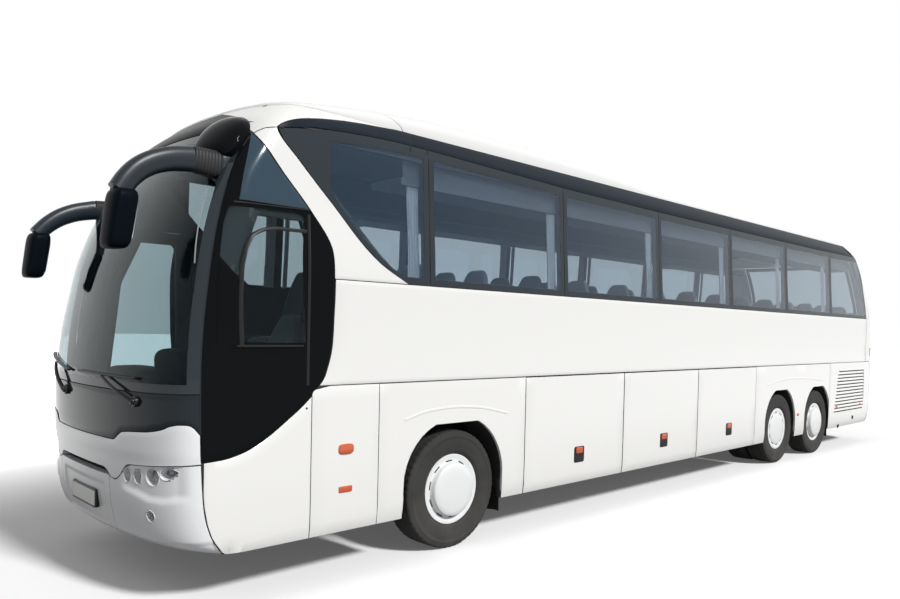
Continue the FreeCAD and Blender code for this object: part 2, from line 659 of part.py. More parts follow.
def passenger_door(name, leaf, window, recess, pivot, lay):
    """Door leaf with a glazed window, and the arm that carries it."""
    eye_x = f"{pivot} + {lay} * door_arm"
    lugs, bores = [], []
    bars, pins = [], []
    for k, z in enumerate(arm_heights):
        lugs.append(box(f"{name}_lug_{k}", (f"{eye_x} - 30", f"{eye_x} + 30"),
                        ("-inner_half - 5", "arm_y + 30"), (f"{z} + 35", f"{z} + 85")))
        bores.append(rod(f"{name}_lug_bore_{k}", "z", "arm_pin + pin_gap",
                         (eye_x, "arm_y", f"{z} + 20"), "90"))
        ends = (pivot, eye_x) if lay > 0 else (eye_x, pivot)
        bars.append(box(f"{name}_bar_{k}", (f"{ends[0]} - 17", f"{ends[1]} + 17"),
                        ("arm_y - 17", "arm_y + 17"), (z, f"{z} + 30")))
        pins.append(rod(f"{name}_pin_{k}", "z", "arm_pin", (eye_x, "arm_y", f"{z} + 10"), "70"))
    post = rod(f"{name}_post", "z", "post_radius", (pivot, "arm_y", "tread + seat_gap"), "880")
    piece(f"{name}_arm", fuse(f"{name}_arm", post, *bars, *pins))
    body = fuse(f"{name}_body", common(f"{name}_leaf", shell, leaf), *lugs)
    piece(name, cut(name, body, window, common(f"{name}_recess", skin, recess), *bores))
    piece(f"{name}_glass", common(f"{name}_glass", skin, recess))


front_pivot = "door_front - 130"
passenger_door(
    "front_door", front_door_form("front_door_form", "0", *right),
    prism("front_door_window", "XZ", [
        ("door_back + 110", "cab_height + 400"), ("door_front - 130", "cab_height + 400"),
        ("door_front - 130", "screen_seam + 100"), ("door_front - 220", "belt"),
        ("door_front - 390", "front_door_top - 110"),
        ("door_back + 150", "front_door_top - 110")], *right),
    prism("front_door_pane", "XZ", [
        ("door_back + 60", "cab_height + 350"), ("door_front - 80", "cab_height + 350"),
        ("door_front - 80", "screen_seam + 100"), ("door_front - 170", "belt"),
        ("door_front - 350", "front_door_top - 60"),
        ("door_back + 120", "front_door_top - 60")], *right),
    front_pivot, -1)
middle_pivot = "middle_back + 62"
passenger_door(
    "middle_door", middle_door_form("middle_door_form", "0", *right),
    box("middle_door_window", ("middle_back + 110", "middle_front - 110"), right,
        ("cab_height + 400", "belt - 150")),
    box("middle_door_pane", ("middle_back + 60", "middle_front - 60"), right,
        ("cab_height + 350", "belt - 100")),
    middle_pivot, 1)

# ---- floors with both stairwells
front_well = ("door_back - 40", "door_front - 20")
middle_well = ("middle_back - 20", "middle_front + 20")
width = ("-half", "half")
decks = fuse(
    "decks",
    box("saloon_deck", ("tail_x + 150", "riser_x + riser_depth"), width,
        ("deck_height - floor_plate", "deck_height")),
    box("cab_deck", ("riser_x", "nose_x"), width, ("cab_height - floor_plate", "cab_height")),
    box("deck_riser", ("riser_x", "riser_x + riser_depth"), width,
        ("cab_height - floor_plate", "deck_height")),
    box("engine_bulkhead", (tail_at(3, 330), tail_at(3, 370)), width,
        ("deck_height - floor_plate", "belt")))
front_depth = ("-half", "front_step_in - half")
middle_depth = ("-half", "middle_step_in - half")
door_relief = [box(f"door_relief_{k}", ("bay_rear - 10", "bay_front + 10"), span,
                   ("deck_height - floor_plate - 5", "deck_height + 5"))
               for k, span in enumerate((("inner_half - 8", "half"), ("-half", "8 - inner_half")))]
deck_body = cut("deck_body", common("deck_trim", decks, room), *door_relief,
                box("front_well", front_well, front_depth, ("0", "cab_height + 10")),
                box("middle_well", middle_well, middle_depth, ("0", "deck_height + 10")))


def steps(name, well, rises, rise, step_in, top):
    """Solid stairs from the door up to a floor, ending in a thin riser."""
    going = f"({step_in} - wall - 15 - riser) / {rises}"
    start = "-half + wall + 15"
    corners = [(start, "door_low - 20"), (f"{step_in} - half", "door_low - 20"), (f"{step_in} - half", top),
               (f"{step_in} - half - riser", top)]
    for i in range(rises - 1, -1, -1):
        corners.append((f"{start} + {i + 1} * {going}", f"tread + {i} * {rise}"))
        corners.append((f"{start} + {i} * {going}", f"tread + {i} * {rise}"))
    return prism(name, "YZ", corners, *well)


front_steps = steps("front_steps", front_well, 2, "front_rise", "front_step_in", "cab_height")
middle_steps = steps("middle_steps", middle_well, 4, "middle_rise", "middle_step_in", "deck_height")
piece("floor_deck", fuse("floor_deck", deck_body, common("front_steps_trim", front_steps, room),
                         middle_steps))

# ---- underframe: rails, bulkheads and bay floors
under = "deck_height - floor_plate"
inside = "half - wall - 20"
across = ("-inner_half", "inner_half")
tag_bulkhead_x = "tag_x - rear_arch_half - 75"
frame_items = [
    box("bay_floor", ("bay_rear - 20", "bay_front + 20"), (f"-({inside})", inside),
        ("belly", "belly + plate")),
    box("front_plate", ("front_plate_x", "front_plate_x + plate"), across,
        ("belly", "cab_height - floor_plate")),
    box("front_bulkhead", ("bay_front + 10", "bay_front + 10 + plate"), across, ("belly", under)),
    box("drive_bulkhead", ("bay_rear - 10 - plate", "bay_rear - 10"), across, ("belly", under)),
    box("tag_bulkhead", (f"{tag_bulkhead_x} - plate", tag_bulkhead_x), across, ("belly", under)),
]
for i in (1, 2):
    frame_items.append(box(f"bay_bulkhead_{i}", (f"bay_front - {i} * bay_pitch - plate / 2",
                                                 f"bay_front - {i} * bay_pitch + plate / 2"),
                           (f"-({inside})", inside), ("belly", under)))
for side, sign in (("left", 1), ("right", -1)):
    low, high = ("rail_inner", "rail_outer") if sign > 0 else ("-rail_outer", "-rail_inner")
    frame_items.append(box(f"front_rail_{side}", ("bay_front + 20", nose_at(0, 400)), (low, high),
                           ("rail_low", "rail_high")))
    frame_items.append(box(f"rear_rail_{side}", ("tail_x + 230", "bay_rear - 20"), (low, high),
                           ("rail_low", "rail_high")))
    for place, x in (("front", "axle_x + 200"), ("rear", "drive_x + 400")):
        frame_items.append(box(f"jack_pad_{place}_{side}", (f"{x} - 60", f"{x} + 60"),
                               (f"{low} + 5", f"{high} - 5"), ("rail_low - pad_depth", "rail_low")))
frame_body = common("frame_trim", fuse("frame_all", *frame_items), room)
piece("underframe", cut(
    "underframe", frame_body,
    box("front_well_clear", front_well, front_depth, ("0", "cab_height + 10")),
    box("middle_well_clear", middle_well, middle_depth, ("0", "deck_height + 10"))))
piece("engine_block", box("engine_block", ("engine_x", "engine_x + engine_length"),
                          ("-rail_inner", "rail_inner"), ("engine_low", "engine_high")))

# ---- axles, each with its air springs up to the rails
axle_beams = []
beam = box("front_beam", ("axle_x - 50", "axle_x + 50"), ("-kingpin_out", "kingpin_out"),
           ("eye_low + 15", "eye_high - 15"))
eyes = [rod(f"axle_eye_{s}", "z", "eye_radius", ("axle_x", f"{s} * kingpin_out", "eye_low"), "eye_height")
        for s in (1, -1)]
eye_bores = [rod(f"axle_eye_bore_{s}", "z", "kingpin_radius + pin_gap",
                 ("axle_x", f"{s} * kingpin_out", "eye_low - 10"), "eye_height + 20") for s in (1, -1)]


def bellows(name, x, low):
    return [rod(f"{name}_bellows_{s}", "z", "bellows_radius", (x, f"{s} * bellows_out", low),
                f"rail_low - ({low})") for s in (1, -1)]


front_springs = bellows("front", "axle_x", "eye_high - 25")
front_beam = cut("front_axle", fuse("front_axle_raw", beam, *eyes, *front_springs), *eye_bores)


def rear_beam(name, x, tube):
    """Straight axle with a spindle through each hub."""
    core = rod(f"{name}_tube", "y", tube, (x, "-(track_half - twin_spacing - 140)", "hub_z"),
               "2 * (track_half - twin_spacing - 140)")
    spindle = rod(f"{name}_spindle", "y", "spindle_radius", (x, "-(track_half + hub_out)", "hub_z"),
                  "2 * (track_half + hub_out)")
    return [core, spindle] + bellows(name, x, f"hub_z + {tube} - 15")


differential = rod("differential", "x", "210", ("drive_x - 170", "0", "hub_z"), "340")
drive_beam = fuse("drive_axle", *rear_beam("drive", "drive_x", "95"), differential)
tag_beam = fuse("tag_axle", *rear_beam("tag", "tag_x", "75"))
piece("axles", group("axles", front_beam, drive_beam, tag_beam))

# ---- steering: knuckles and tie rod
for side, sign in (("left", 1), ("right", -1)):
    def span(a, b):
        return (a, b) if sign > 0 else (f"-({b})", f"-({a})")
    ears = [box(f"ear_{side}_{k}", ("axle_x - 50", "axle_x + 50"),
                span("kingpin_out - 50", "kingpin_out + 82"), (z, f"{z} + ear"))
            for k, z in enumerate(("ear_low", "eye_high + ear_gap"))]
    web = box(f"web_{side}", ("axle_x - 50", "axle_x + 50"), span("kingpin_out + 62", "kingpin_out + 82"),
              ("ear_low", "ear_high"))
    kingpin = rod(f"kingpin_{side}", "z", "kingpin_radius",
                  ("axle_x", f"{sign} * kingpin_out", "ear_low + 5"), "ear_high - ear_low - 10")
    low, high = span("kingpin_out + 70", "track_half + hub_out")
    spindle = rod(f"spindle_{side}", "y", "spindle_radius", ("axle_x", low, "hub_z"), f"{high} - ({low})")
    arm = box(f"steer_arm_{side}", ("axle_x - track_arm", "axle_x - 45"),
              span("kingpin_out - 15", "kingpin_out + 15"), ("ear_low", "ear_low + 30"))
    tip = rod(f"steer_tip_{side}", "z", "28", ("axle_x - track_arm", f"{sign} * kingpin_out", "ear_low"), "30")
    bore = rod(f"steer_bore_{side}", "z", "rod_pin + pin_gap",
               ("axle_x - track_arm", f"{sign} * kingpin_out", "ear_low - 10"), "50")
    knuckle = fuse(f"knuckle_{side}_raw", *ears, web, kingpin, spindle, arm, tip)
    piece(f"knuckle_{side}", cut(f"knuckle_{side}", knuckle, bore))
rod_z = "ear_low - 30"
tie_pins = [rod(f"tie_pin_{s}", "z", "rod_pin" if s > 0 else "rod_pin - 1",
                ("axle_x - track_arm", f"{s} * kingpin_out", rod_z), "30 + 28") for s in (1, -1)]
tie_bar = rod("tie_bar", "y", "rod_radius", ("axle_x - track_arm", "-kingpin_out - 8", rod_z),
              "2 * kingpin_out + 16")
piece("tie_rod", fuse("tie_rod", tie_bar, *tie_pins))


# ---- wheels
def turned(name, corners):
    """Body of revolution about its own Y axis; corners are (radius, along)."""
    body = doc.addObject("PartDesign::Body", name)
    plane = [f for f in body.Origin.OriginFeatures if f.Role == "XY_Plane"][0]
    sketch = body.newObject("Sketcher::SketchObject", name + "_section")
    sketch.AttachmentSupport = [(plane, "")]
    sketch.MapMode = "FlatFace"
    outline(sketch, corners)
    turn = body.newObject("PartDesign::Revolution", name + "_turn")
    turn.Profile = sketch
    turn.ReferenceAxis = (sketch, ["V_Axis"])
    turn.Angle = 360
    return body


def set_wheel(item, x, y, facing):
    """Puts a turned piece on its axle, its outer face towards the side."""
    turn = FreeCAD.Rotation(FreeCAD.Vector(0, 0, 1), 0 if facing > 0 else 180)
    item.Placement = FreeCAD.Placement(FreeCAD.Vector(), turn)
    bind(item, Placement__Base__x=x, Placement__Base__y=y, Placement__Base__z="hub_z")
    return item


tyre_section = [
    ("bead_radius + seat_gap", "-rim_width / 2 + 10 + seat_gap"),
    ("bead_radius + seat_gap", "rim_width / 2 - 10 - seat_gap"),
    ("bead_radius + 16 + seat_gap", "rim_width / 2 - 4 - seat_gap"),
    ("bead_radius + 24", "rim_width / 2 + 8"),
    ("tyre_radius - 32", "tyre_width / 2 - 10", "tyre_radius - 118", "tyre_width / 2"),
    ("tyre_radius", "tyre_width / 2 - 38", "tyre_radius - 7", "tyre_width / 2 - 19"),
    ("tyre_radius", "-tyre_width / 2 + 38"),
    ("tyre_radius - 32", "-tyre_width / 2 + 10", "tyre_radius - 7", "-tyre_width / 2 + 19"),
    ("bead_radius + 24", "-rim_width / 2 - 8", "tyre_radius - 118", "-tyre_width / 2"),
    ("bead_radius + 16 + seat_gap", "-rim_width / 2 + 4 + seat_gap"),
]


def rim_section(disc, hub_low, hub_high):
    """Rim with its disc at the given offset and a hub bored for the spindle."""
    bore = "spindle_radius + pin_gap"
    return [
        (bore, hub_low), ("hub_radius", hub_low), ("hub_radius", disc),
        ("bead_radius - rim_wall", disc), ("bead_radius - rim_wall", "-rim_width / 2"),
        ("bead_radius + 16", "-rim_width / 2 - 8"), ("bead_radius + 16", "-rim_width / 2 + 4"),
        ("bead_radius", "-rim_width / 2 + 10"), ("bead_radius", "rim_width / 2 - 10"),
        ("bead_radius + 16", "rim_width / 2 - 4"), ("bead_radius + 16", "rim_width / 2 + 8"),
        ("bead_radius - rim_wall", "rim_width / 2"), ("bead_radius - rim_wall", f"{disc} + rim_disc"),
        ("hub_radius", f"{disc} + rim_disc"), ("hub_radius", hub_high), (bore, hub_high)]


def inner_rim_section():
    """Inner rim of a twin: barrel and disc bolted to the hub, clear of the axle."""
    return [
        ("hub_radius", "rim_width / 2 - 30"), ("bead_radius - rim_wall", "rim_width / 2 - 30"),
        ("bead_radius - rim_wall", "-rim_width / 2"),
        ("bead_radius + 16", "-rim_width / 2 - 8"), ("bead_radius + 16", "-rim_width / 2 + 4"),
        ("bead_radius", "-rim_width / 2 + 10"), ("bead_radius", "rim_width / 2 - 10"),
        ("bead_radius + 16", "rim_width / 2 - 4"), ("bead_radius + 16", "rim_width / 2 + 8"),
        ("bead_radius - rim_wall", "rim_width / 2"), ("bead_radius - rim_wall", "rim_width / 2 - 16"),
        ("hub_radius", "rim_width / 2 - 16")]


# columns: axle, x, disc offset, twin
axle_rows = [
    ("front", "axle_x", "-5", False),
    ("drive", "drive_x", "-5", True),
    ("tag", "tag_x", "-5", False),
]
for axle, x, disc, twin in axle_rows:
    for side, sign in (("left", 1), ("right", -1)):
        y = f"{sign} * track_half"
        tyre = set_wheel(turned(f"{axle}_tyre_{side}_a", tyre_section), x, y, sign)
        hub_low = "-twin_spacing - 20" if twin else "-rim_width / 2 + 30"
        rim = set_wheel(turned(f"{axle}_rim_{side}_a", rim_section(disc, hub_low, "hub_out")), x, y, sign)
        if twin:
            y_in = f"{sign} * (track_half - twin_spacing)"
            tyre_in = set_wheel(turned(f"{axle}_tyre_{side}_b", tyre_section), x, y_in, sign)
            rim_in = set_wheel(turned(f"{axle}_rim_{side}_b", inner_rim_section()), x, y_in, sign)
            piece(f"{axle}_tyres_{side}", group(f"{axle}_tyres_{side}", tyre, tyre_in))
            piece(f"{axle}_rims_{side}", fuse(f"{axle}_rims_{side}", rim, rim_in))
        else:
            piece(f"{axle}_tyre_{side}", tyre)
            piece(f"{axle}_rim_{side}", rim)

# ---- seats, dashboard with the steering wheel, luggage racks
def seat(name, x, y, floor, rise):
    """Pair of seats as one profile: pedestal, cushion, back and headrest."""
    return prism(name, "XZ", [
        (f"{x} + 60", floor), (f"{x} + 260", floor), (f"{x} + 260", f"{floor} + 300"),
        (f"{x} + 440", f"{floor} + 320"), (f"{x} + 440", f"{floor} + 450"),
        (f"{x} + 60", f"{floor} + 430"), (f"{x} - 110", f"{floor} + {rise}"),
        (f"{x} - 200", f"{floor} + {rise} - 10"), (f"{x} - 60", f"{floor} + 330"),
        (f"{x} + 60", f"{floor} + 300")], *y)


seats = []
first_seat = "nose_x - 2340"
row_count = int(number(f"({first_seat} - tail_x - rear_seat_room) / seat_pitch")) + 1
spans = {"left": ("aisle_half", "aisle_half + seat_width"),
         "right": ("-aisle_half - seat_width", "-aisle_half")}
for side, span in spans.items():
    for i in range(row_count):
        x = f"{first_seat} - {i} * seat_pitch"
        in_stairs = number(f"{x} + 440 - middle_back + 20") > 0 > number(f"{x} - 200 - middle_front - 20")
        if side == "left" or not in_stairs:
            seats.append(seat(f"seat_{side}_{i}", x, span, "deck_height", "seat_rise"))
seats.append(seat("driver_seat", "nose_x - 1290", ("340", "860"), "cab_height", "1080"))
piece("seats", group("seats", *seats))

dash = prism("dash", "XZ", [
    ("nose_x - 740", "cab_height"), (nose_at(2, 300), "cab_height"), (nose_at(2, 300), "screen_seam - 60"),
    ("nose_x - 690", "screen_seam + 20"), ("nose_x - 760", "screen_seam - 60")], "-500", "half - 175")
column = rod("column", "z", "28", ("wheel_x", "600", "cab_height + 100"), "540")
wheel = doc.addObject("Part::Torus", "steering_ring")
bind(wheel, Radius1="215", Radius2="15", Placement__Base__x="wheel_x", Placement__Base__y="600",
     Placement__Base__z="cab_height + 640")
spokes = box("wheel_spokes", ("wheel_x - 20", "wheel_x + 20"), ("385", "815"),
             ("cab_height + 630", "cab_height + 650"))
piece("dashboard", fuse("dashboard", common("dash_trim", dash, room), column, wheel, spokes))
racks = [box(f"rack_{s}", ("tail_x + 1300", "nose_x - 2090"),
             ("half - 515", "half") if s > 0 else ("-half", "515 - half"),
             ("glass_top - 260", "glass_top - 200")) for s in (1, -1)]
piece("luggage_racks", group("luggage_racks", *[common(f"rack_trim_{k}", item, room)
                                                for k, item in enumerate(racks)]))


# ---- mirrors: arched arm and hanging head
# columns: side sign, head x, head top, arm top, arm root x
mirror_forms = []
for side, sign, head_x, head_top, arm_top in (
        ("left", 1, "nose_x + mirror_reach - 95", "glass_top - 600", "glass_top - 300"),
        ("right", -1, "nose_x + mirror_reach - 135", "glass_top - 700", "glass_top - 360")):
    low, high = ("half - 190", "half - 70") if sign > 0 else ("70 - half", "190 - half")
    arm = prism(f"mirror_arm_{side}", "XZ", [
        ("nose_x - 740", f"{arm_top} - 130"), ("nose_x - 740", f"{arm_top} - 20"),
        (f"{head_x} - 60", f"{arm_top} - 130", "nose_x - 270", arm_top),
        (f"{head_x} + 40", head_top, f"{head_x} + 25", f"{arm_top} - 210"),
        (f"{head_x} - 60", head_top),
        ("nose_x - 310", f"{arm_top} - 130", f"{head_x} - 150", f"{arm_top} - 190")], low, high)
    y_low, y_high = ("half - 255", "half + 45") if sign > 0 else ("-half - 45", "255 - half")
    head = prism(f"mirror_head_{side}", "XY", [
        (f"{head_x} - 95", y_low), (f"{head_x} + 60", y_low),
        (f"{head_x} + 60", y_high, f"{head_x} + 95", f"({y_low} + {y_high}) / 2"),
        (f"{head_x} - 95", y_high)], f"{head_top} - 385", head_top)
    mirror_forms.append(cut(f"mirror_{side}", fuse(f"mirror_raw_{side}", arm, head), outer))
piece("mirrors", group("mirrors", *mirror_forms))

# ---- wipers, lying on the screen
off_far = envelope("off_far", "-34")
off_near = envelope("off_near", "-10")
layer = cut("wiper_layer", off_far, off_near)
wiper_forms = []
for k, (y0, y1, rise) in enumerate((("half - 755", "half - 235", "160"), ("-560", "-20", "200"))):
    wiper_forms.append(prism(f"wiper_form_{k}", "YZ", [
        (y0, "screen_seam + 45"), (f"{y0} + 30", "screen_seam + 12"),
        (y1, f"screen_seam + {rise} - 30"), (y1, f"screen_seam + {rise}")],
        "nose_x - 500", "nose_x + 100"))
wipers = [common(f"wiper_blade_{k}", layer, form) for k, form in enumerate(wiper_forms)]
pegs = [rod(f"wiper_peg_{k}", "x", "12", ("nose_x - 130", y, "screen_seam + 32"), "160")
        for k, y in enumerate(("half - 740", "-545"))]
piece("wipers", group("wipers", *[fuse(f"wiper_{k}", w, cut(f"wiper_peg_trim_{k}", p, outer))
                                  for k, (w, p) in enumerate(zip(wipers, pegs))]))

# ---- check and write
doc.recompute()
faults = []
for item in doc.Objects:
    if "Invalid" in item.State or "Error" in item.State:
        faults.append(f"{item.Name}: {item.State}")
for name, item in parts.items():
    if item.Shape.isNull() or not item.Shape.isValid():
        faults.append(f"{name}: bad shape")
if faults:
    raise RuntimeError("; ".join(faults))
os.makedirs("parts", exist_ok=True)
for name, item in parts.items():
    item.Shape.exportStep(f"parts/{name}.step")
    print(name, len(item.Shape.Solids), round(item.Shape.Volume / 1e9, 5))
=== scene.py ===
import math
import bpy
import numpy as np
from mathutils import Matrix, Vector


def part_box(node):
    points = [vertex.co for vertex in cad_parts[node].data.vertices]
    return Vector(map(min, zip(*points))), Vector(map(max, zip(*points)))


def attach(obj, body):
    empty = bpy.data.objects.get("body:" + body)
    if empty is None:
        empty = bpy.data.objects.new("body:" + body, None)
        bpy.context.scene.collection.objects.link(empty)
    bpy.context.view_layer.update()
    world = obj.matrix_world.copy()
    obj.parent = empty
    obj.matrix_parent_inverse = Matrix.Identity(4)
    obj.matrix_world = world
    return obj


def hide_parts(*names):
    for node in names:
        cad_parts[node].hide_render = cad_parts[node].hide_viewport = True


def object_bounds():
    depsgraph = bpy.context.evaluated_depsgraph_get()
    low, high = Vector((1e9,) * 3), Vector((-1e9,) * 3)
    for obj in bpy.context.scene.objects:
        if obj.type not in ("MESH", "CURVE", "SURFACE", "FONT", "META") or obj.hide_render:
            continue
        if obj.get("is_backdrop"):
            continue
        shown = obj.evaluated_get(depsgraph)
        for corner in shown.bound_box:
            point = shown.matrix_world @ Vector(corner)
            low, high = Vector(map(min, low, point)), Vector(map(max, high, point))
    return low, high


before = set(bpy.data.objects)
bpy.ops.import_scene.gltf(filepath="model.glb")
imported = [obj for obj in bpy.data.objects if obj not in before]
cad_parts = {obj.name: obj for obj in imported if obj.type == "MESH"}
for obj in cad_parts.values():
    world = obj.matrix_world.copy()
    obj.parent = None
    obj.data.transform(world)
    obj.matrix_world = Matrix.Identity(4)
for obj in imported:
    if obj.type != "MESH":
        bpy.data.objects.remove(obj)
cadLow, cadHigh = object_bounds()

# Three-axle touring coach. +x is forward, +y the coach's left, +z up, all in metres.
# One smooth body form gives every outer surface; panels are patches of it, 4 mm outside the CAD panels.

# Places read from the frame.
wheelLow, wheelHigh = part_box("front_tyre_left")
driveLow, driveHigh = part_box("drive_tyres_left")
tagLow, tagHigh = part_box("tag_tyre_left")
axleX = (wheelLow.x + wheelHigh.x) / 2
driveX = (driveLow.x + driveHigh.x) / 2
tagX = (tagLow.x + tagHigh.x) / 2
tyreRadius = (wheelHigh.z - wheelLow.z) / 2
hubZ = (wheelHigh.z + wheelLow.z) / 2
trackHalf = (wheelHigh.y + wheelLow.y) / 2
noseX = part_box("front_mask")[1].x
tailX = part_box("rear_wall")[0].x
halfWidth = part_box("side_wall_left")[1].y
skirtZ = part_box("lower_panels")[0].z
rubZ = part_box("side_wall_left")[0].z
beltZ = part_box("side_glass")[0].z + 0.524       # the driver's window reaches lower than the belt
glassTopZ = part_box("windscreen")[1].z
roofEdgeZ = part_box("side_wall_left")[1].z
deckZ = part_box("seats")[1].z - 1.15         # a headrest's top stands this far over the floor
doorNames = {side: [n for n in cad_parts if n.startswith("luggage_door_" + side)]
    for side in ("left", "right")}

body = {
    # height, side inside the widest point, nose behind the foremost, tail ahead of the rearmost
    "levels": [
        (skirtZ, 0.014, 0.29, 0.19),
        (skirtZ + 0.04, 0.007, 0.17, 0.13),
        (skirtZ + 0.1, 0.003, 0.078, 0.075),
        (0.6, 0.001, 0.036, 0.035),
        (0.75, 0.0, 0.018, 0.018),
        (1.4, 0.0, 0.0, 0.0),
        (beltZ, 0.0, 0.13, 0.15),
        ((beltZ + glassTopZ) / 2, 0.03, 0.315, 0.4),
        (glassTopZ, 0.06, 0.64, 0.84),
        (roofEdgeZ, 0.155, 0.86, 1.19),
    ],
    "noseDepth": 0.43,      # length of the rounded nose in plan
    "tailDepth": 0.27,
    "cornerPower": 0.335,   # smaller is squarer
    "proud": 0.004,         # outer skins stand this far outside the CAD panels
    "skin": 0.003,          # thickness of a skin
    "gap": 0.007,           # seam between panels
}
proud, seam = body["proud"], body["gap"]
levelTable = np.array(body["levels"])


# Cubic through the knots that never overshoots: each slope is the harmonic mean of the chords beside it.
def smoothCurve(knots, values, at):
    knots, values = np.asarray(knots, float), np.asarray(values, float)
    step, chord = np.diff(knots), np.diff(values) / np.diff(knots)
    slope = np.zeros(len(knots))
    same = chord[:-1] * chord[1:] > 0
    slope[1:-1][same] = 2 * chord[:-1][same] * chord[1:][same] / (chord[:-1] + chord[1:])[same]
    slope[0], slope[-1] = chord[0], chord[-1]
    at = np.clip(np.asarray(at, float), knots[0], knots[-1])
    i = np.clip(np.searchsorted(knots, at, side="right") - 1, 0, len(step) - 1)
    t = (at - knots[i]) / step[i]
    return (values[i] * (1 + 2 * t) * (1 - t) ** 2 + slope[i] * step[i] * t * (1 - t) ** 2 + values[i + 1]
        * t * t * (3 - 2 * t) + slope[i + 1] * step[i] * t * t * (t - 1))


def levelAt(z, column):
    return smoothCurve(levelTable[:, 0], levelTable[:, column], z)


# Plan of one end: y = half width x sin(angle), x = depth x cos(angle) to twice the corner power,
# tabled against the arc length from the middle line.
def planTable(depth):
    w = np.linspace(1, 0, 1601)
    cosine = w ** 1.5
    angle = np.arccos(cosine)
    x, y = depth * cosine ** (2 * body["cornerPower"]), halfWidth * np.sin(angle)
    return angle, np.concatenate([[0], np.cumsum(np.hypot(np.diff(x), np.diff(y)))])


# One end of the body as a wrap: s runs along the plan from the middle line, past the corner along the side.
class Wrap:
    def __init__(self, depth, end, column, sense):
        self.depth, self.end, self.column, self.sense = depth, end, column, sense
        self.angles, self.arcs = planTable(depth)
        self.corner = self.arcs[-1]

    def inner(self, z):
        return self.end - self.sense * (levelAt(z, self.column) + self.depth)

    def __call__(self, s, z, out=0.0):
        s, z = np.broadcast_arrays(np.asarray(s, float), np.asarray(z, float))
        angle = np.interp(np.abs(s), self.arcs, self.angles)
        wide = halfWidth - levelAt(z, 1) + out
        along = (self.depth * np.clip(np.cos(angle), 0, 1) ** (2 * body["cornerPower"]) + out
            - np.maximum(np.abs(s) - self.corner, 0))
        return np.stack([self.inner(z) + self.sense * along, np.sign(s) * wide * np.sin(angle), z], -1)

    def fromX(self, x, z):
        inside = (x - self.inner(z)) * self.sense
        angle = np.arccos(np.clip(inside / self.depth, 0, 1) ** (0.5 / body["cornerPower"]))
        s = np.interp(angle, self.angles, self.arcs)
        return np.where(inside < 0, self.corner - inside, s)

    def fromY(self, y, z):
        angle = np.arcsin(np.clip(np.abs(y) / (halfWidth - levelAt(z, 1)), 0, 1))
        return np.sign(y) * np.interp(angle, self.angles, self.arcs)


nose = Wrap(body["noseDepth"], noseX, 2, 1)
tail = Wrap(body["tailDepth"], tailX, 3, -1)


# Side surface as a function of x and z: the plan curves of nose and tail solved for y.
def sideSurface(side):
    def point(x, z, out=0.0):
        x, z = np.broadcast_arrays(np.asarray(x, float), np.asarray(z, float))
        wide = halfWidth - levelAt(z, 1) + out
        y = wide.copy()
        for end in (nose, tail):
            inside = np.clip(((x - end.inner(z)) * end.sense - out) / end.depth, 0, 1)
            y = np.minimum(y, wide * np.sqrt(1 - inside ** (1 / body["cornerPower"])))
        return np.stack([x, side * y, z], -1)
    return point


sides = {"left": (1, sideSurface(1)), "right": (-1, sideSurface(-1))}


# Nose wrap of one side: the left side counts s upwards.
def noseSide(side):
    return lambda s, z, out=0.0: nose(side * s, z, out)


# Quads of a grid of rows x columns vertices, wrapped round where asked.
def gridFaces(rows, columns, closeRows=False, closeColumns=False):
    r = np.arange(rows if closeRows else rows - 1)
    c = np.arange(columns if closeColumns else columns - 1)
    r, c = np.meshgrid(r, c, indexing="ij")
    r1, c1 = (r + 1) % rows, (c + 1) % columns
    r, r1 = r * columns, r1 * columns
    return np.stack([r + c, r + c1, r1 + c1, r1 + c], -1).reshape(-1, 4)


# Unit normals of a grid, from differences along both directions.
def gridNormals(grid, closeColumns=False):
    if closeColumns:
        wide = np.concatenate([grid[:, -1:], grid, grid[:, :1]], 1)
        across = np.gradient(wide, axis=1)[:, 1:-1]
    else:
        across = np.gradient(grid, axis=1)
    normal = np.cross(np.gradient(grid, axis=0), across)
    return normal / np.maximum(np.linalg.norm(normal, axis=-1, keepdims=True), 1e-12)


# Places along a stretch of given length: even steps between two narrow end cells that take the rounded edge.
def ticks(length, step, edge=0.004):
    count = max(int(math.ceil(abs(length) / step)), 1) + 1
    spaced = np.linspace(0, 1, count)
    part = min(edge / max(abs(length), 1e-6), 0.2)
    return np.concatenate([[0], part + (1 - 2 * part) * spaced, [1]])


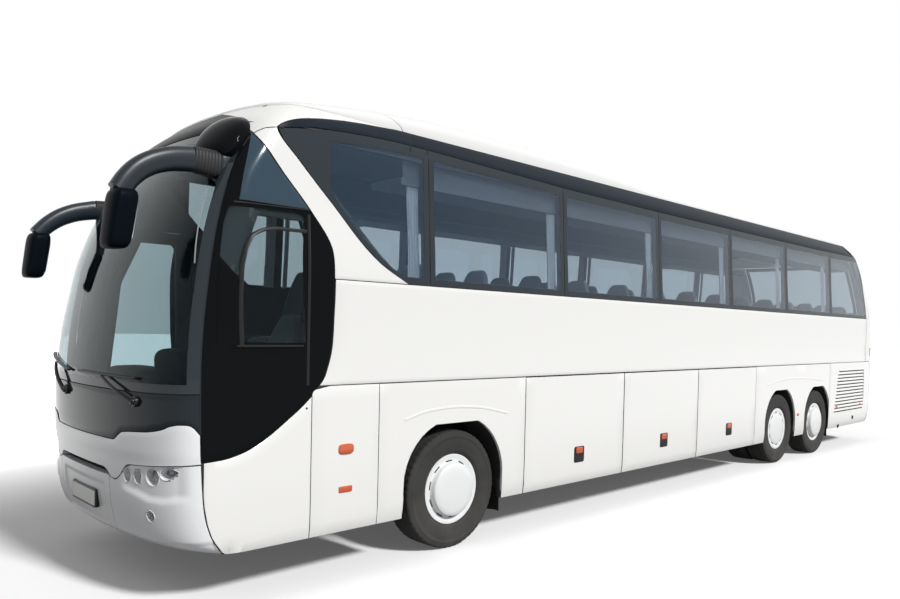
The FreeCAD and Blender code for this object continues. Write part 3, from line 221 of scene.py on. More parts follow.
# Gathers grids into one mesh, with a material number for each face.
class Builder:
    def __init__(self):
        self.points, self.faces, self.indices, self.count = [], [], [], 0

    def add(self, points, faces, index=0):
        points = np.asarray(points, float).reshape(-1, 3)
        for f in faces if isinstance(faces, (list, tuple)) else [faces]:
            self.faces.append(np.asarray(f) + self.count)
            self.indices.append(np.full(len(f), index) if np.isscalar(index) else np.asarray(index))
        self.points.append(points)
        self.count += len(points)
        return self

    # Closed sheet from a grid: outer face with its rim let in by part of edge, inner face thick behind it.
    def shell(self, grid, thick=0.003, edge=0.004, index=0, loop=False, pole=False, away=None, rimIndex=None):
        grid = np.asarray(grid, float)
        rows, columns = grid.shape[:2]
        normal = gridNormals(grid, loop)
        if away is None:
            away = grid * [0, 1, 1] - [0, 0, 1.9]
            away[..., 0] = grid[..., 0] - np.clip(grid[..., 0], tailX + 1.5, noseX - 1.5)
        turned = np.sum(normal * away) >= 0
        if not turned:
            normal = -normal
        if pole:
            middle = normal[1].mean(0)
            normal[0] = middle / np.linalg.norm(middle)
        rim = np.zeros((rows, columns))
        rim[-1] = 1
        if not pole:
            rim[0] = 1
        if not loop:
            rim[:, 0] = rim[:, -1] = 1
        outer = grid - normal * (rim * edge * 0.45)[..., None]
        inner = grid - normal * thick
        quads = gridFaces(rows, columns, closeColumns=loop)
        if turned:
            quads = quads[:, ::-1]
        cells = np.full(len(quads), index) if np.isscalar(index) else np.asarray(index).ravel()
        number = np.arange(rows * columns).reshape(rows, columns)
        if loop:
            rings = [number[-1]] if pole else [number[-1], number[0][::-1]]
        else:
            around = [number[0, :-1], number[:-1, -1], number[-1, :0:-1], number[:0:-1, 0]]
            rings = [np.concatenate(around)[::-1]]
        faces, marks = [quads, quads[:, ::-1] + rows * columns], [cells, cells]
        for ring in rings:
            following = np.roll(ring, -1)
            wall = np.stack([ring, following, following + rows * columns, ring + rows * columns], -1)
            faces.append(wall if turned else wall[:, ::-1])
            marks.append(np.full(len(wall), cells[0] if rimIndex is None else rimIndex))
        self.points += [outer.reshape(-1, 3), inner.reshape(-1, 3)]
        self.faces += [f + self.count for f in faces]
        self.indices += marks
        self.count += 2 * rows * columns
        return self

    def object(self, name, materials, sharp=38):
        return makeObject(name, np.concatenate(self.points), self.faces, materials,
            np.concatenate(self.indices), True, sharp)


# Mesh from vertex rows and a list of face arrays (quads or triangles); faces that meet at more than
# the sharp angle stay crisp.
def makeObject(name, points, faces, materials, indices=None, smooth=True, sharp=38):
    mesh = bpy.data.meshes.new(name)
    points = np.asarray(points, np.float32).reshape(-1, 3)
    sizes = np.concatenate([np.full(len(f), f.shape[1]) for f in faces])
    corners = np.concatenate([f.ravel() for f in faces])
    mesh.vertices.add(len(points))
    mesh.vertices.foreach_set("co", points.ravel())
    mesh.loops.add(len(corners))
    mesh.loops.foreach_set("vertex_index", corners.astype(np.int32))
    mesh.polygons.add(len(sizes))
    mesh.polygons.foreach_set("loop_start", np.concatenate([[0], np.cumsum(sizes)[:-1]]).astype(np.int32))
    mesh.polygons.foreach_set("loop_total", sizes.astype(np.int32))
    if indices is not None:
        mesh.polygons.foreach_set("material_index", indices.astype(np.int32))
    mesh.polygons.foreach_set("use_smooth", np.full(len(sizes), smooth))
    for m in materials if isinstance(materials, (list, tuple)) else [materials]:
        mesh.materials.append(m)
    mesh.update(calc_edges=True)
    mesh.validate()
    if smooth and sharp:
        mesh.set_sharp_from_angle(angle=math.radians(sharp))
    thing = bpy.data.objects.new(name, mesh)
    bpy.context.scene.collection.objects.link(thing)
    return thing


# Seats a finished piece on its body and hides the CAD nodes it stands for.
def place(thing, bodyName, slot=None, *nodes):
    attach(thing, bodyName)
    if nodes:
        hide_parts(*nodes)
    return thing


# One panel from one grid: a shell of the skin's thickness, seated on its body.
def addSkin(name, grid, material, bodyName="coach_body", slot="body_paint", *nodes, thick=body["skin"],
    edge=0.004):
    return place(Builder().shell(grid, thick, edge).object(name, material), bodyName, slot, *nodes)


# Row patch: between two heights, its ends given as functions of height.
def rowPatch(surface, low, high, backOf, frontOf, step=0.12, rise=0.1, out=proud, edge=0.004):
    z = low + (high - low) * ticks(high - low, rise, edge)
    back, front = backOf(z), frontOf(z)
    t = ticks(np.mean(np.abs(front - back)), step, edge)
    return surface(back[:, None] * (1 - t) + front[:, None] * t, z[:, None], out)


# Column patch: over given places along, its lower and upper edges functions of the place.
def columnPatch(surface, along, lowOf, highOf, rise=0.12, out=proud, edge=0.004):
    low, high = lowOf(along), highOf(along)
    t = ticks(np.mean(high - low), rise, edge)
    return surface(np.broadcast_to(along, (len(t), len(along))), low + (high - low) * t[:, None], out)


def even(value):
    return lambda at: np.full(np.shape(at), float(value))


# Polygon in the plane with each corner rounded: a quadratic curve between points cut back along both sides.
def roundedLoop(points, radius, count=6):
    points = np.asarray(points, float)
    before, after = np.roll(points, 1, 0) - points, np.roll(points, -1, 0) - points
    lengthB, lengthA = (np.linalg.norm(v, axis=1, keepdims=True) for v in (before, after))
    cutB, cutA = (np.minimum(np.reshape(radius, (-1, 1)) / v, 0.48) for v in (lengthB, lengthA))
    t = np.linspace(0, 1, count)[None, :, None]
    start, end = (points + before * cutB)[:, None], (points + after * cutA)[:, None]
    return (start * (1 - t) ** 2 + 2 * points[:, None] * t * (1 - t) + end * t * t).reshape(-1, 2)


# Distance from a centre to a closed loop along each angle: the farthest crossing of the ray with its sides.
def rayTo(loop, centre, angles):
    a = np.asarray(loop, float) - centre
    e = np.roll(a, -1, 0) - a
    d = np.stack([np.cos(angles), np.sin(angles)], -1)
    den = e[None, :, 0] * d[:, None, 1] - e[None, :, 1] * d[:, None, 0]
    den = np.where(np.abs(den) < 1e-12, 1e-12, den)
    t = -(a[None, :, 0] * d[:, None, 1] - a[None, :, 1] * d[:, None, 0]) / den
    hit = a[None] + t[..., None] * e[None]
    r = np.sum(hit * d[:, None], -1)
    return np.where((t > -1e-6) & (t < 1 + 1e-6) & (r > 0), r, 0).max(1)


# Patch between an inner and an outer loop (or from a centre point), matched by the angle round the centre.
def ringPatch(surface, centre, outer, inner=None, rings=6, count=96, out=proud, edge=0.004):
    centre = np.asarray(centre, float)
    loops = [np.asarray(outer, float)] + ([np.asarray(inner, float)] if inner is not None else [])
    own = np.concatenate([np.arctan2(*(loop - centre).T[::-1]) for loop in loops])
    spread = np.linspace(-math.pi, math.pi, count, endpoint=False)
    angles = np.unique(np.round(np.concatenate([own, spread]), 4))
    angles = angles[np.concatenate([[True], np.diff(angles) > 0.003])]
    far = rayTo(loops[0], centre, angles)
    near = rayTo(loops[1], centre, angles) if inner is not None else np.zeros(len(angles))
    t = ticks(1.0, 1 / rings, edge / max(np.mean(far - near), 0.01))
    if inner is None:
        t = t[1:]
        t[0] = 0
    radius = near + (far - near) * t[:, None]
    return surface(centre[0] + radius * np.cos(angles), centre[1] + radius * np.sin(angles), out)


# Body of revolution: a profile of (radius, along) rows turned about an axis through a centre.
def lathe(profile, centre, axis, count=48):
    profile = np.asarray(profile, float)
    axis = np.asarray(axis, float) / np.linalg.norm(axis)
    side = np.cross(axis, [0, 0, 1] if abs(axis[2]) < 0.9 else [1, 0, 0])
    side /= np.linalg.norm(side)
    other = np.cross(axis, side)
    turn = np.linspace(0, 2 * math.pi, count, endpoint=False)
    spoke = np.cos(turn)[:, None] * side + np.sin(turn)[:, None] * other
    return np.asarray(centre, float) + profile[:, None, 1:2] * axis + profile[:, None, :1] * spoke[None]


# Tube: a closed section carried along a path, its frame turned as little as possible from point to point.
def tube(path, section, scale=None, up=(0, 0, 1)):
    path, section = np.asarray(path, float), np.asarray(section, float)
    tangent = np.gradient(path, axis=0)
    tangent /= np.linalg.norm(tangent, axis=1, keepdims=True)
    across = np.cross(tangent, np.asarray(up, float))
    across /= np.maximum(np.linalg.norm(across, axis=1, keepdims=True), 1e-9)
    raised = np.cross(across, tangent)
    scale = np.ones((len(path), 2)) if scale is None else np.asarray(scale, float).reshape(len(path), -1)
    if scale.shape[1] == 1:
        scale = np.repeat(scale, 2, 1)
    return (path[:, None] + across[:, None] * section[None, :, :1] * scale[:, None, :1] + raised[:, None]
        * section[None, :, 1:] * scale[:, None, 1:])


# Faces of a tube with both ends closed by a fan onto a middle point.
def addTube(builder, grid, index=0):
    rows, columns = grid.shape[:2]
    ends = np.stack([grid[0].mean(0), grid[-1].mean(0)])
    quads = gridFaces(rows, columns, closeColumns=True)
    ring = np.arange(columns)
    following = (ring + 1) % columns
    first = np.stack([np.full(columns, rows * columns), following, ring], -1)
    last = np.stack([np.full(columns, rows * columns + 1), ring + (rows - 1) * columns, following
            + (rows - 1) * columns], -1)
    middle = grid.reshape(-1, 3).mean(0)
    volume = np.sum(np.cross(grid[:-1] - middle, np.roll(grid, -1, 1)[:-1] - middle) * (grid[1:] - middle))
    faces = [quads, first, last]
    if volume < 0:
        faces = [f[:, ::-1] for f in faces]
    builder.add(np.concatenate([grid.reshape(-1, 3), ends]), faces, index)
    return builder


def circle(radius, count=16, stretch=1.0):
    turn = np.linspace(0, 2 * math.pi, count, endpoint=False)
    return np.stack([radius * np.cos(turn), radius * stretch * np.sin(turn)], -1)


# Rounded box: a superellipsoid, each direction cosine raised to the power given, scaled to half sizes.
def blob(centre, half, power=0.35, across=32, down=18, shape=None):
    a = np.linspace(-math.pi, math.pi, across, endpoint=False)
    b = np.linspace(-math.pi / 2, math.pi / 2, down)
    bend = lambda v: np.sign(v) * np.abs(v) ** power
    cosB, sinB = bend(np.cos(b))[:, None], bend(np.sin(b))[:, None]
    level = np.broadcast_to(sinB, (down, across))
    unit = np.stack([cosB * bend(np.cos(a)), cosB * bend(np.sin(a)), level], -1)
    if shape is not None:
        unit = shape(unit)
    return unit * np.asarray(half, float) + np.asarray(centre, float)


def addBlob(builder, grid, index=0):
    return addTube(builder, grid, index)


# Ribbon on a surface: a low rounded bar of given width along a path of surface coordinates.
def addRibbon(builder, surface, path, width, high, index=0, out=proud, step=0.03):
    path = np.asarray(path, float)
    length = np.concatenate([[0], np.cumsum(np.linalg.norm(np.diff(path, axis=0), axis=1))])
    at = np.linspace(0, length[-1], max(int(length[-1] / step), 4))
    path = np.stack([np.interp(at, length, path[:, k]) for k in (0, 1)], -1)
    centre = surface(path[:, 0], path[:, 1], out)
    away = surface(path[:, 0], path[:, 1], out + 0.01) - centre
    away /= np.linalg.norm(away, axis=1, keepdims=True)
    along = np.gradient(centre, axis=0)
    along /= np.linalg.norm(along, axis=1, keepdims=True)
    across = np.cross(along, away)
    profile = np.array([(-0.5, -0.4), (-0.5, 0.55), (-0.36, 1.0), (0.36, 1.0), (0.5, 0.55), (0.5, -0.4)])
    grid = (centre[:, None] + across[:, None] * profile[None, :, :1] * width + away[:, None]
        * profile[None, :, 1:] * high)
    return addTube(builder, grid, index)


# Materials. One shader node from its kind, settings and input values; a socket given as a value is linked.
def node(tree, kind, inputs=None, **settings):
    made = tree.nodes.new(kind)
    for key, value in settings.items():
        setattr(made, key, value)
    for key, value in (inputs or {}).items():
        if isinstance(value, bpy.types.NodeSocket):
            tree.links.new(value, made.inputs[key])
        else:
            made.inputs[key].default_value = value
    return made


# Arithmetic node on two or three values; its result.
def mathNode(tree, operation, *values, clamp=False):
    made = node(tree, "ShaderNodeMath", dict(enumerate(values)), operation=operation, use_clamp=clamp)
    return made.outputs[0]


# Node group with named inputs and outputs; fill(tree, given) returns the output sockets by name.
def makeGroup(name, inputs, outputs, fill):
    tree = bpy.data.node_groups.new(name, "ShaderNodeTree")
    kinds = {"value": "NodeSocketFloat", "colour": "NodeSocketColor", "vector": "NodeSocketVector"}
    for label, kind, value in inputs:
        socket = tree.interface.new_socket(label, in_out="INPUT", socket_type=kinds[kind])
        if value is not None:
            socket.default_value = value
    for label, kind in outputs:
        tree.interface.new_socket(label, in_out="OUTPUT", socket_type=kinds[kind])
    given, taken = tree.nodes.new("NodeGroupInput"), tree.nodes.new("NodeGroupOutput")
    for label, socket in fill(tree, given).items():
        tree.links.new(socket, taken.inputs[label])
    return tree


# Uneven surface: cloudy noise over object coordinates gives a roughness, a tone mask and a normal.
def fillUneven(tree, given):
    place3 = node(tree, "ShaderNodeTexCoord").outputs["Object"]
    cloud = node(tree, "ShaderNodeTexNoise", {"Vector": place3, "Scale": given.outputs["Scale"],
            "Detail": 3.0}).outputs["Fac"]
    rough = mathNode(tree, "MULTIPLY_ADD", cloud, given.outputs["Spread"], given.outputs["Roughness"])
    bump = node(tree, "ShaderNodeBump", {"Height": cloud, "Distance": 0.001,
            "Strength": given.outputs["Bump"]})
    return {"Roughness": rough, "Mask": cloud, "Normal": bump.outputs[0]}


uneven = makeGroup("unevenSurface", [("Scale", "value", 20.0), ("Roughness", "value", 0.3),
        ("Spread", "value", 0.1), ("Bump", "value", 0.1)], [("Roughness", "value"), ("Mask", "value"),
        ("Normal", "vector")], fillUneven)


# Road dust: full near the ground and gone at the given height, broken up by noise.
def fillDust(tree, given):
    place3 = node(tree, "ShaderNodeTexCoord").outputs["Object"]
    height = node(tree, "ShaderNodeSeparateXYZ", {0: place3}).outputs["Z"]
    fade = node(tree, "ShaderNodeMapRange", {"Value": height, "From Min": 0.0,
            "From Max": given.outputs["Height"], "To Min": 1.0, "To Max": 0.0})
    noise = node(tree, "ShaderNodeTexNoise", {"Vector": place3, "Scale": 6.0, "Detail": 6.0})
    both = mathNode(tree, "MULTIPLY", fade.outputs[0], noise.outputs["Fac"])
    amount = mathNode(tree, "MULTIPLY", both, given.outputs["Amount"], clamp=True)
    mixed = node(tree, "ShaderNodeMix", {"Factor": amount, "A": given.outputs["Colour"],
            "B": (0.42, 0.4, 0.36, 1)}, data_type="RGBA")
    return {"Colour": mixed.outputs["Result"], "Mask": amount}


dust = makeGroup("roadDust", [("Colour", "colour", None), ("Height", "value", 1.0),
        ("Amount", "value", 0.2)], [("Colour", "colour"), ("Mask", "value")], fillDust)


def newMaterial(name):
    made = bpy.data.materials.new(name)
    made.use_nodes = True
    tree = made.node_tree
    shader = tree.nodes["Principled BSDF"]
    return made, tree, shader


def setShader(shader, values):
    for key, value in values.items():
        shader.inputs[key].default_value = value


# Solid finish: a colour with slight unevenness and, where asked, road dust low down.
def finish(name, colour, roughness=0.4, scale=30.0, spread=0.1, bump=0.15, dusty=0.0, dustHeight=1.0,
    specular=0.5, coat=0.0, **values):
    made, tree, shader = newMaterial(name)
    surface = node(tree, "ShaderNodeGroup", node_tree=uneven)
    for key, value in (("Scale", scale), ("Roughness", roughness), ("Spread", spread), ("Bump", bump)):
        surface.inputs[key].default_value = value
    tree.links.new(surface.outputs["Roughness"], shader.inputs["Roughness"])
    tree.links.new(surface.outputs["Normal"], shader.inputs["Normal"])
    if dusty:
        cover = node(tree, "ShaderNodeGroup", node_tree=dust)
        cover.inputs["Colour"].default_value = (*colour, 1)
        cover.inputs["Height"].default_value = dustHeight
        cover.inputs["Amount"].default_value = dusty
        tree.links.new(cover.outputs["Colour"], shader.inputs["Base Color"])
    else:
        shader.inputs["Base Color"].default_value = (*colour, 1)
    setShader(shader, {"Specular IOR Level": specular, "Coat Weight": coat, **values})
    return made


# Glass: transmitting, tinted, and clear to shadow rays so that daylight comes in.
def glassFinish(name, colour, tint=(1, 1, 1), ior=1.45, shade=0.5, level=0.5):
    made, tree, shader = newMaterial(name)
    setShader(shader, {"Base Color": (*colour, 1), "Roughness": 0.0, "IOR": ior, "Transmission Weight": 1.0,
            "Metallic": 0.0, "Specular Tint": (*tint, 1), "Specular IOR Level": level})
    rays = node(tree, "ShaderNodeLightPath")
    through = node(tree, "ShaderNodeBsdfTransparent", {"Color": (shade, shade, shade, 1)})
    mixed = node(tree, "ShaderNodeMixShader", {0: rays.outputs["Is Shadow Ray"], 1: shader.outputs[0],
            2: through.outputs[0]})
    tree.links.new(mixed.outputs[0], tree.nodes["Material Output"].inputs["Surface"])
    return made


paint = {"white": (0.825, 0.82, 0.8), "fascia": (0.8, 0.81, 0.82), "black": (0.006, 0.007, 0.008),
    "tint": (0.5, 0.57, 0.62), "screenTint": (0.44, 0.53, 0.55), "orange": (0.58, 0.085, 0.018),
    "red": (0.55, 0.015, 0.01),}
whitePaint = finish("whitePaint", paint["white"], 0.28, 8.0, 0.06, 0.02, 0.1, 0.9, 0.35, 0.3,
    **{"Coat Roughness": 0.06})
# roof: the white paint made duller, and a little darker as painted shade for the sunlit top
roofPaintShaded = finish("roofPaintShaded", (0.8, 0.8, 0.79), 0.5, 8.0, 0.06, 0.02, specular=0.15)
fasciaPaint = finish("fasciaPaint", paint["fascia"], 0.3, 8.0, 0.06, 0.02, 0.15, 0.9, coat=0.4)
blackGloss = finish("blackGloss", paint["black"], 0.05, 6.0, 0.03, 0.01, specular=0.02)
headerBlack = finish("headerBlack", (0.004, 0.007, 0.009), 0.22, 6.0, 0.03, 0.01, specular=0.01)
frontBlack = finish("frontBlack", (0.013, 0.019, 0.024), 0.06, 6.0, 0.03, 0.01, specular=0.16)
fritBlack = finish("fritBlack", (0.022, 0.031, 0.038), 0.06, 6.0, 0.02, 0.0, specular=0.25)
coveBlack = finish("coveBlack", (0.016, 0.022, 0.03), 0.3, 6.0, 0.02, 0.0, specular=0.04)
blackPlastic = finish("blackPlastic", (0.008, 0.008, 0.009), 0.35, 400.0, 0.1, 0.2, specular=0.3)
armPlastic = finish("armPlastic", (0.012, 0.018, 0.024), 0.3, 500.0, 0.08, 0.15, specular=0.3)
headPlastic = finish("headPlastic", (0.003, 0.005, 0.008), 0.35, 500.0, 0.08, 0.15, specular=0.02)
gaiterRubber = finish("gaiterRubber", (0.012, 0.012, 0.013), 0.5, 200.0, 0.1, 0.2, specular=0.3)
innerDark = finish("innerDark", (0.018, 0.019, 0.021), 0.7, 20.0, 0.1, 0.1, 0.25, 0.9)
trimGrey = finish("trimGrey", (0.3, 0.31, 0.33), 0.6, 60.0, 0.1, 0.2)
chassisSteel = finish("chassisSteel", (0.03, 0.03, 0.032), 0.5, 40.0, 0.2, 0.3, 0.5, 1.0)
engineIron = finish("engineIron", (0.12, 0.12, 0.125), 0.55, 60.0, 0.2, 0.5, 0.2, 1.2, Metallic=0.6)
floorVinyl = finish("floorVinyl", (0.16, 0.17, 0.2), 0.45, 150.0, 0.1, 0.2)
dashPlastic = finish("dashPlastic", (0.004, 0.006, 0.006), 0.6, 300.0, 0.1, 0.3, specular=0.1)
tyreRubber = finish("tyreRubber", (0.022, 0.022, 0.022), 0.75, 120.0, 0.12, 0.5, 0.16, 1.4, 0.3)
trimWhite = finish("trimWhite", (0.8, 0.81, 0.81), 0.28, 20.0, 0.08, 0.05, 0.12, 1.2, coat=0.3)
# near black: the own colour of seams, linings and plugs, and painted shade where flat bars of it stand for
# the gaps of slots and louvres
blackAndSlotShade = finish("blackAndSlotShade", (0.01, 0.01, 0.01), 0.8)
lampBowl = finish("lampBowl", (0.8, 0.82, 0.83), 0.35, 30.0, 0.05, 0.0, Metallic=0.1)
chrome = finish("chrome", (0.82, 0.83, 0.85), 0.08, 30.0, 0.05, 0.0, Metallic=1.0)
plateBlank = finish("plateBlank", (0.8, 0.82, 0.78), 0.4)
orangeLens = finish("orangeLens", paint["orange"], 0.12, 30.0, 0.03, 0.0, coat=0.6)
redLens = finish("redLens", paint["red"], 0.12, 30.0, 0.03, 0.0, coat=0.6)
lampGrey = finish("lampGrey", (0.42, 0.43, 0.45), 0.15, 30.0, 0.05, 0.0, coat=0.6)
# the blue specular tint on the side glass and windscreen is painted sky reflection; the base colour tints
# what shows through
sideGlass = glassFinish("sideGlass", paint["tint"], (0.42, 0.66, 1.0), 1.52, level=0.9)
screenGlass = glassFinish("screenGlass", paint["screenTint"], (0.75, 0.9, 1.0), 1.2, shade=0.6)
# quarter glass: an opaque pane whose dark blue is painted reflection of the sky
quarterGlassPaintedReflection = finish("quarterGlassPaintedReflection", (0.034, 0.062, 0.09), 0.14, 6.0, 0.01, 0.0, specular=0.2)
lensGlass = glassFinish("lensGlass", (0.96, 0.97, 0.98), ior=1.45, shade=0.9)

# CAD nodes stay inside as structure: each gets its finish, and those not named here a plain dark one.
cadFinish = {"floor_deck": floorVinyl, "engine_block": engineIron, "dashboard": dashPlastic}
for nodeName in ("underframe", "axles", "knuckle_left", "knuckle_right", "tie_rod", "front_door_arm",
    "middle_door_arm"):
    cadFinish[nodeName] = chassisSteel


def giveFinish(nodeName, material):
    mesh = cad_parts[nodeName].data
    mesh.materials.clear()
    mesh.materials.append(material)


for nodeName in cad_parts:
    giveFinish(nodeName, cadFinish.get(nodeName, innerDark))
print("materials", len(bpy.data.materials))

sideMap = {
    # s runs round the nose's plan from the middle line; x is measured from the front axle, forward positive
    "capFront": [(0.5, 3.57), (0.81, 3.487), (1.0, 3.419), (1.154, 3.322), (1.219, 3.285), (1.55, 3.056),
        (1.932, 2.781), (2.213, 2.519), (2.262, 2.418), (2.3, 2.285)],   # s, z: white over black
    "cabBack": [(2.3, 2.285), (2.34, 2.06), (2.375, 1.762), (2.343, 1.569), (2.23, 1.416), (2.011, 1.239),
        (1.831, 1.119), (1.687, 1.053), (1.543, 1.022), (1.405, 1.014)],   # s, z: black on white
    "sweptEdge": [(3.02, 2.292), (2.682, 2.446), (2.047, 2.882), (1.658, 3.134), (1.39, 3.3),
        (1.345, 3.345)],                  # s, z: first window
    "bandTop": [(2.0, 3.335), (1.767, 3.345), (1.419, 3.405), (0.633, 3.447), (-0.55, 3.419), (-2.074, 3.385),
        (-4.27, 3.376), (-7.7, 3.376), (-10.05, 3.396)],   # x, z: seam above the glass
    "coveTop": [(1.767, 3.35), (1.72, 3.385), (1.576, 3.446), (1.106, 3.533), (0.607, 3.5695)],   # x, z
    "rearEdge": [(-10.583, 2.285), (-10.49, 2.648), (-10.355, 3.01), (-10.159, 3.327), (-10.05, 3.45),
        (-9.95, 3.57)],                    # x, z: end of the glass band
    "panelSeams": [1.49, 0.864, -0.908],            # ahead of the doors
    "rearSeam": -8.81,
    "frontLine": [(0.362, 2.145), (0.376, 2.158), (0.491, 2.243), (0.536, 2.262), (0.614, 2.287),
        (0.715, 2.306), (0.83, 2.316), (1.023, 2.327), (1.3, 2.336)],
    "archLift": 0.004,
}


# Place along as a function of height, from rows of place and height.
def curveOf(rows):
    rows = np.array(sorted(rows, key=lambda row: row[1]))
    return lambda at: smoothCurve(rows[:, 1], rows[:, 0], at)


capFrontS = curveOf(sideMap["capFront"])
sweptS = curveOf(sideMap["sweptEdge"])
bandTopRows = np.array(sideMap["bandTop"])[::-1]
rearRows = np.array(sideMap["rearEdge"])
coveRows = np.array(sideMap["coveTop"])


def bandTopZ(x):
    return smoothCurve(bandTopRows[:, 0], bandTopRows[:, 1], x - axleX)


def rearX(z):
    return axleX + smoothCurve(rearRows[:, 1], rearRows[:, 0], z)


def frontLineX(z):
    rows = np.array(sideMap["frontLine"])
    return axleX + smoothCurve(rows[:, 0], rows[:, 1], z)


# Lower end of the cab's black area as a height over x, from the s, z rows below the belt.
cabRows = np.array([row for row in sideMap["cabBack"] if row[1] < 1.6])[::-1]
cabX = axleX + (nose.inner(1.2) + nose.corner - axleX - cabRows[:, 0])


def cabLowZ(x):
    return smoothCurve(cabX[::-1], cabRows[::-1, 1], x)


# Circle through three points, sampled from the first to the last.
def arcThrough(a, b, c, count=9):
    a, b, c = (np.asarray(p, float) for p in (a, b, c))
    m = np.array([b - a, c - a]) * 2
    centre = np.linalg.solve(m, [b @ b - a @ a, c @ c - a @ a])
    start, middle, end = (math.atan2(*(p - centre)[::-1]) for p in (a, b, c))
    middle += 2 * math.pi * round((start - middle) / (2 * math.pi))
    end += 2 * math.pi * round((middle - end) / (2 * math.pi))
    turn = np.linspace(start, end, count)
    return centre + np.linalg.norm(a - centre) * np.stack([np.cos(turn), np.sin(turn)], -1)


# Edge of a wheel arch: straight legs, round shoulders and a flat top, front foot first.
def archLine(x, reach, skin=0.0):
    top = 2 * tyreRadius + 0.076 - skin
    reach = reach - skin
    ahead, behind = x + reach, x - reach
    rows = [[(ahead, skirtZ - 0.2)], arcThrough((ahead - 0.01, tyreRadius), (ahead - 0.12, top - 0.17),
            (ahead - 0.36, top)), arcThrough((behind + 0.34, top), (behind + 0.11, top - 0.19),
            (behind + 0.01, tyreRadius)), [(behind, skirtZ - 0.2)]]
    return np.concatenate([np.asarray(r, float).reshape(-1, 2) for r in rows])


archReach = {"front": tyreRadius + 0.088, "rear": tyreRadius + 0.043}
arches = [(axleX, archReach["front"]), (driveX, archReach["rear"]), (tagX, archReach["rear"])]


# Lower edge of the side panels: the skirt, raised over each wheel arch.
def lowerZ(x):
    z = np.full(np.shape(x), skirtZ)
    for at, reach in arches:
        line = archLine(at, reach, sideMap["archLift"])[::-1]
        inside = np.abs(x - at) < reach - sideMap["archLift"]
        z = np.where(inside, np.maximum(z, np.interp(x, line[:, 0], line[:, 1])), z)
    return z


# Places along a side panel: even steps, closer where an arch's leg rises.
def alongPanel(back, front, step=0.16):
    x = back + (front - back) * ticks(front - back, step)
    extra = [archLine(at, reach, sideMap["archLift"])[:, 0] for at, reach in arches]
    legs = [np.array([at + sign * (reach - sideMap["archLift"] + d)]) for at, reach in arches
        for sign in (1, -1) for d in (-0.0006, 0.0006, 0.02)]
    extra = np.concatenate(extra + legs)
    x = np.sort(np.concatenate([x, extra[(extra > back + 0.004) & (extra < front - 0.004)]]))
    return x[np.concatenate([[True], np.diff(x) > 0.0004])]


lap = 0.0015                # luggage-door skins reach past the doors into the wide gap round them
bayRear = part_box("luggage_door_left_3")[0].x - lap
rubTop = rubZ - 0.006
rearFoot = axleX + sideMap["rearSeam"]


# One lower panel as its own piece; the top edge turns in under the rub line.
def lowerPanel(side, name, back, front, bodyName, lift=0.0, high=None):
    sign, surface = sides[side]
    x = alongPanel(back + seam / 2, front - seam / 2)
    top = high if high is not None else even(rubTop - lift)
    grid = columnPatch(surface, x, lowerZ, top, 0.1)
    fold = 1 - np.clip((rubTop - lift - grid[..., 2]) / 0.014, 0, 1)
    grid[..., 1] -= sign * 0.003 * fold ** 2 * (high is None)
    return addSkin(name, grid, whitePaint, bodyName, edge=0.005)


middleLow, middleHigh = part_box("middle_door")
middleLow.z, doorGap = skirtZ, 0.008
cabWallRows = curveOf([row for row in sideMap["cabBack"] if row[1] > 1.4])


def cabWallX(z):
    return nose.inner(z) + nose.corner - cabWallRows(z) - seam / 2


for side, (sign, surface) in sides.items():
    doors = doorNames[side]
    seams = [axleX + x for x in sideMap["panelSeams"]]
    lowerPanel(side, f"archPanel_{side}", seams[2], seams[1], "coach_body")
    for doorName in doors:
        low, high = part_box(doorName)
        lowerPanel(side, f"doorSkin_{doorName}", low.x - lap, high.x + lap, doorName, 0.005)
    lowerPanel(side, f"rearArchPanel_{side}", rearFoot, bayRear if side == "left" else middleLow.x
        - doorGap, "coach_body")
    if side == "right":
        lowerPanel(side, "stairPanel", middleHigh.x + doorGap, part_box(doors[-1])[0].x - lap, "coach_body")
    # behind the rear wheels, to the tail corner
    grid = rowPatch(surface, skirtZ, rubTop, tail.inner, even(rearFoot - seam / 2))
    addSkin(f"rearCornerPanel_{side}", grid, whitePaint)
    # wall between the rub line and the glass, on the right split round the middle door
    rear = lambda z: rearX(np.maximum(z, 2.2)) + seam / 2
    if side == "left":
        stretches = [(rubZ + 0.002, rear, cabWallX)]
    else:
        ahead = even(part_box("front_door")[0].x - doorGap)
        stretches = [(rubZ + 0.002, rear, even(middleLow.x - doorGap)),
            (rubZ + 0.002, even(middleHigh.x + doorGap), ahead),
            (middleHigh.z + doorGap, even(middleLow.x - 0.002), even(middleHigh.x + 0.002))]
    for i, (low, back, front) in enumerate(stretches):
        grid = rowPatch(surface, low, beltZ - 0.006, back, front, 0.2, 0.03)
        addSkin(f"wallSkin_{side}_{i}", grid, whitePaint, edge=0.005)
print("sides")

# Side glass: one pane per window with a black printed rim, the clear part set by the posts behind.
glass = {
    "rimSide": 0.055, "rimLow": 0.05, "rimHigh": 0.085,
    "deep": 0.006,          # thickness of a pane
    "clearFront": axleX + 1.333,    # printed black ahead of this place
}
firstPost = axleX + 0.35
lastPost = tagX - 0.44
postPitch = (firstPost - lastPost) / 5


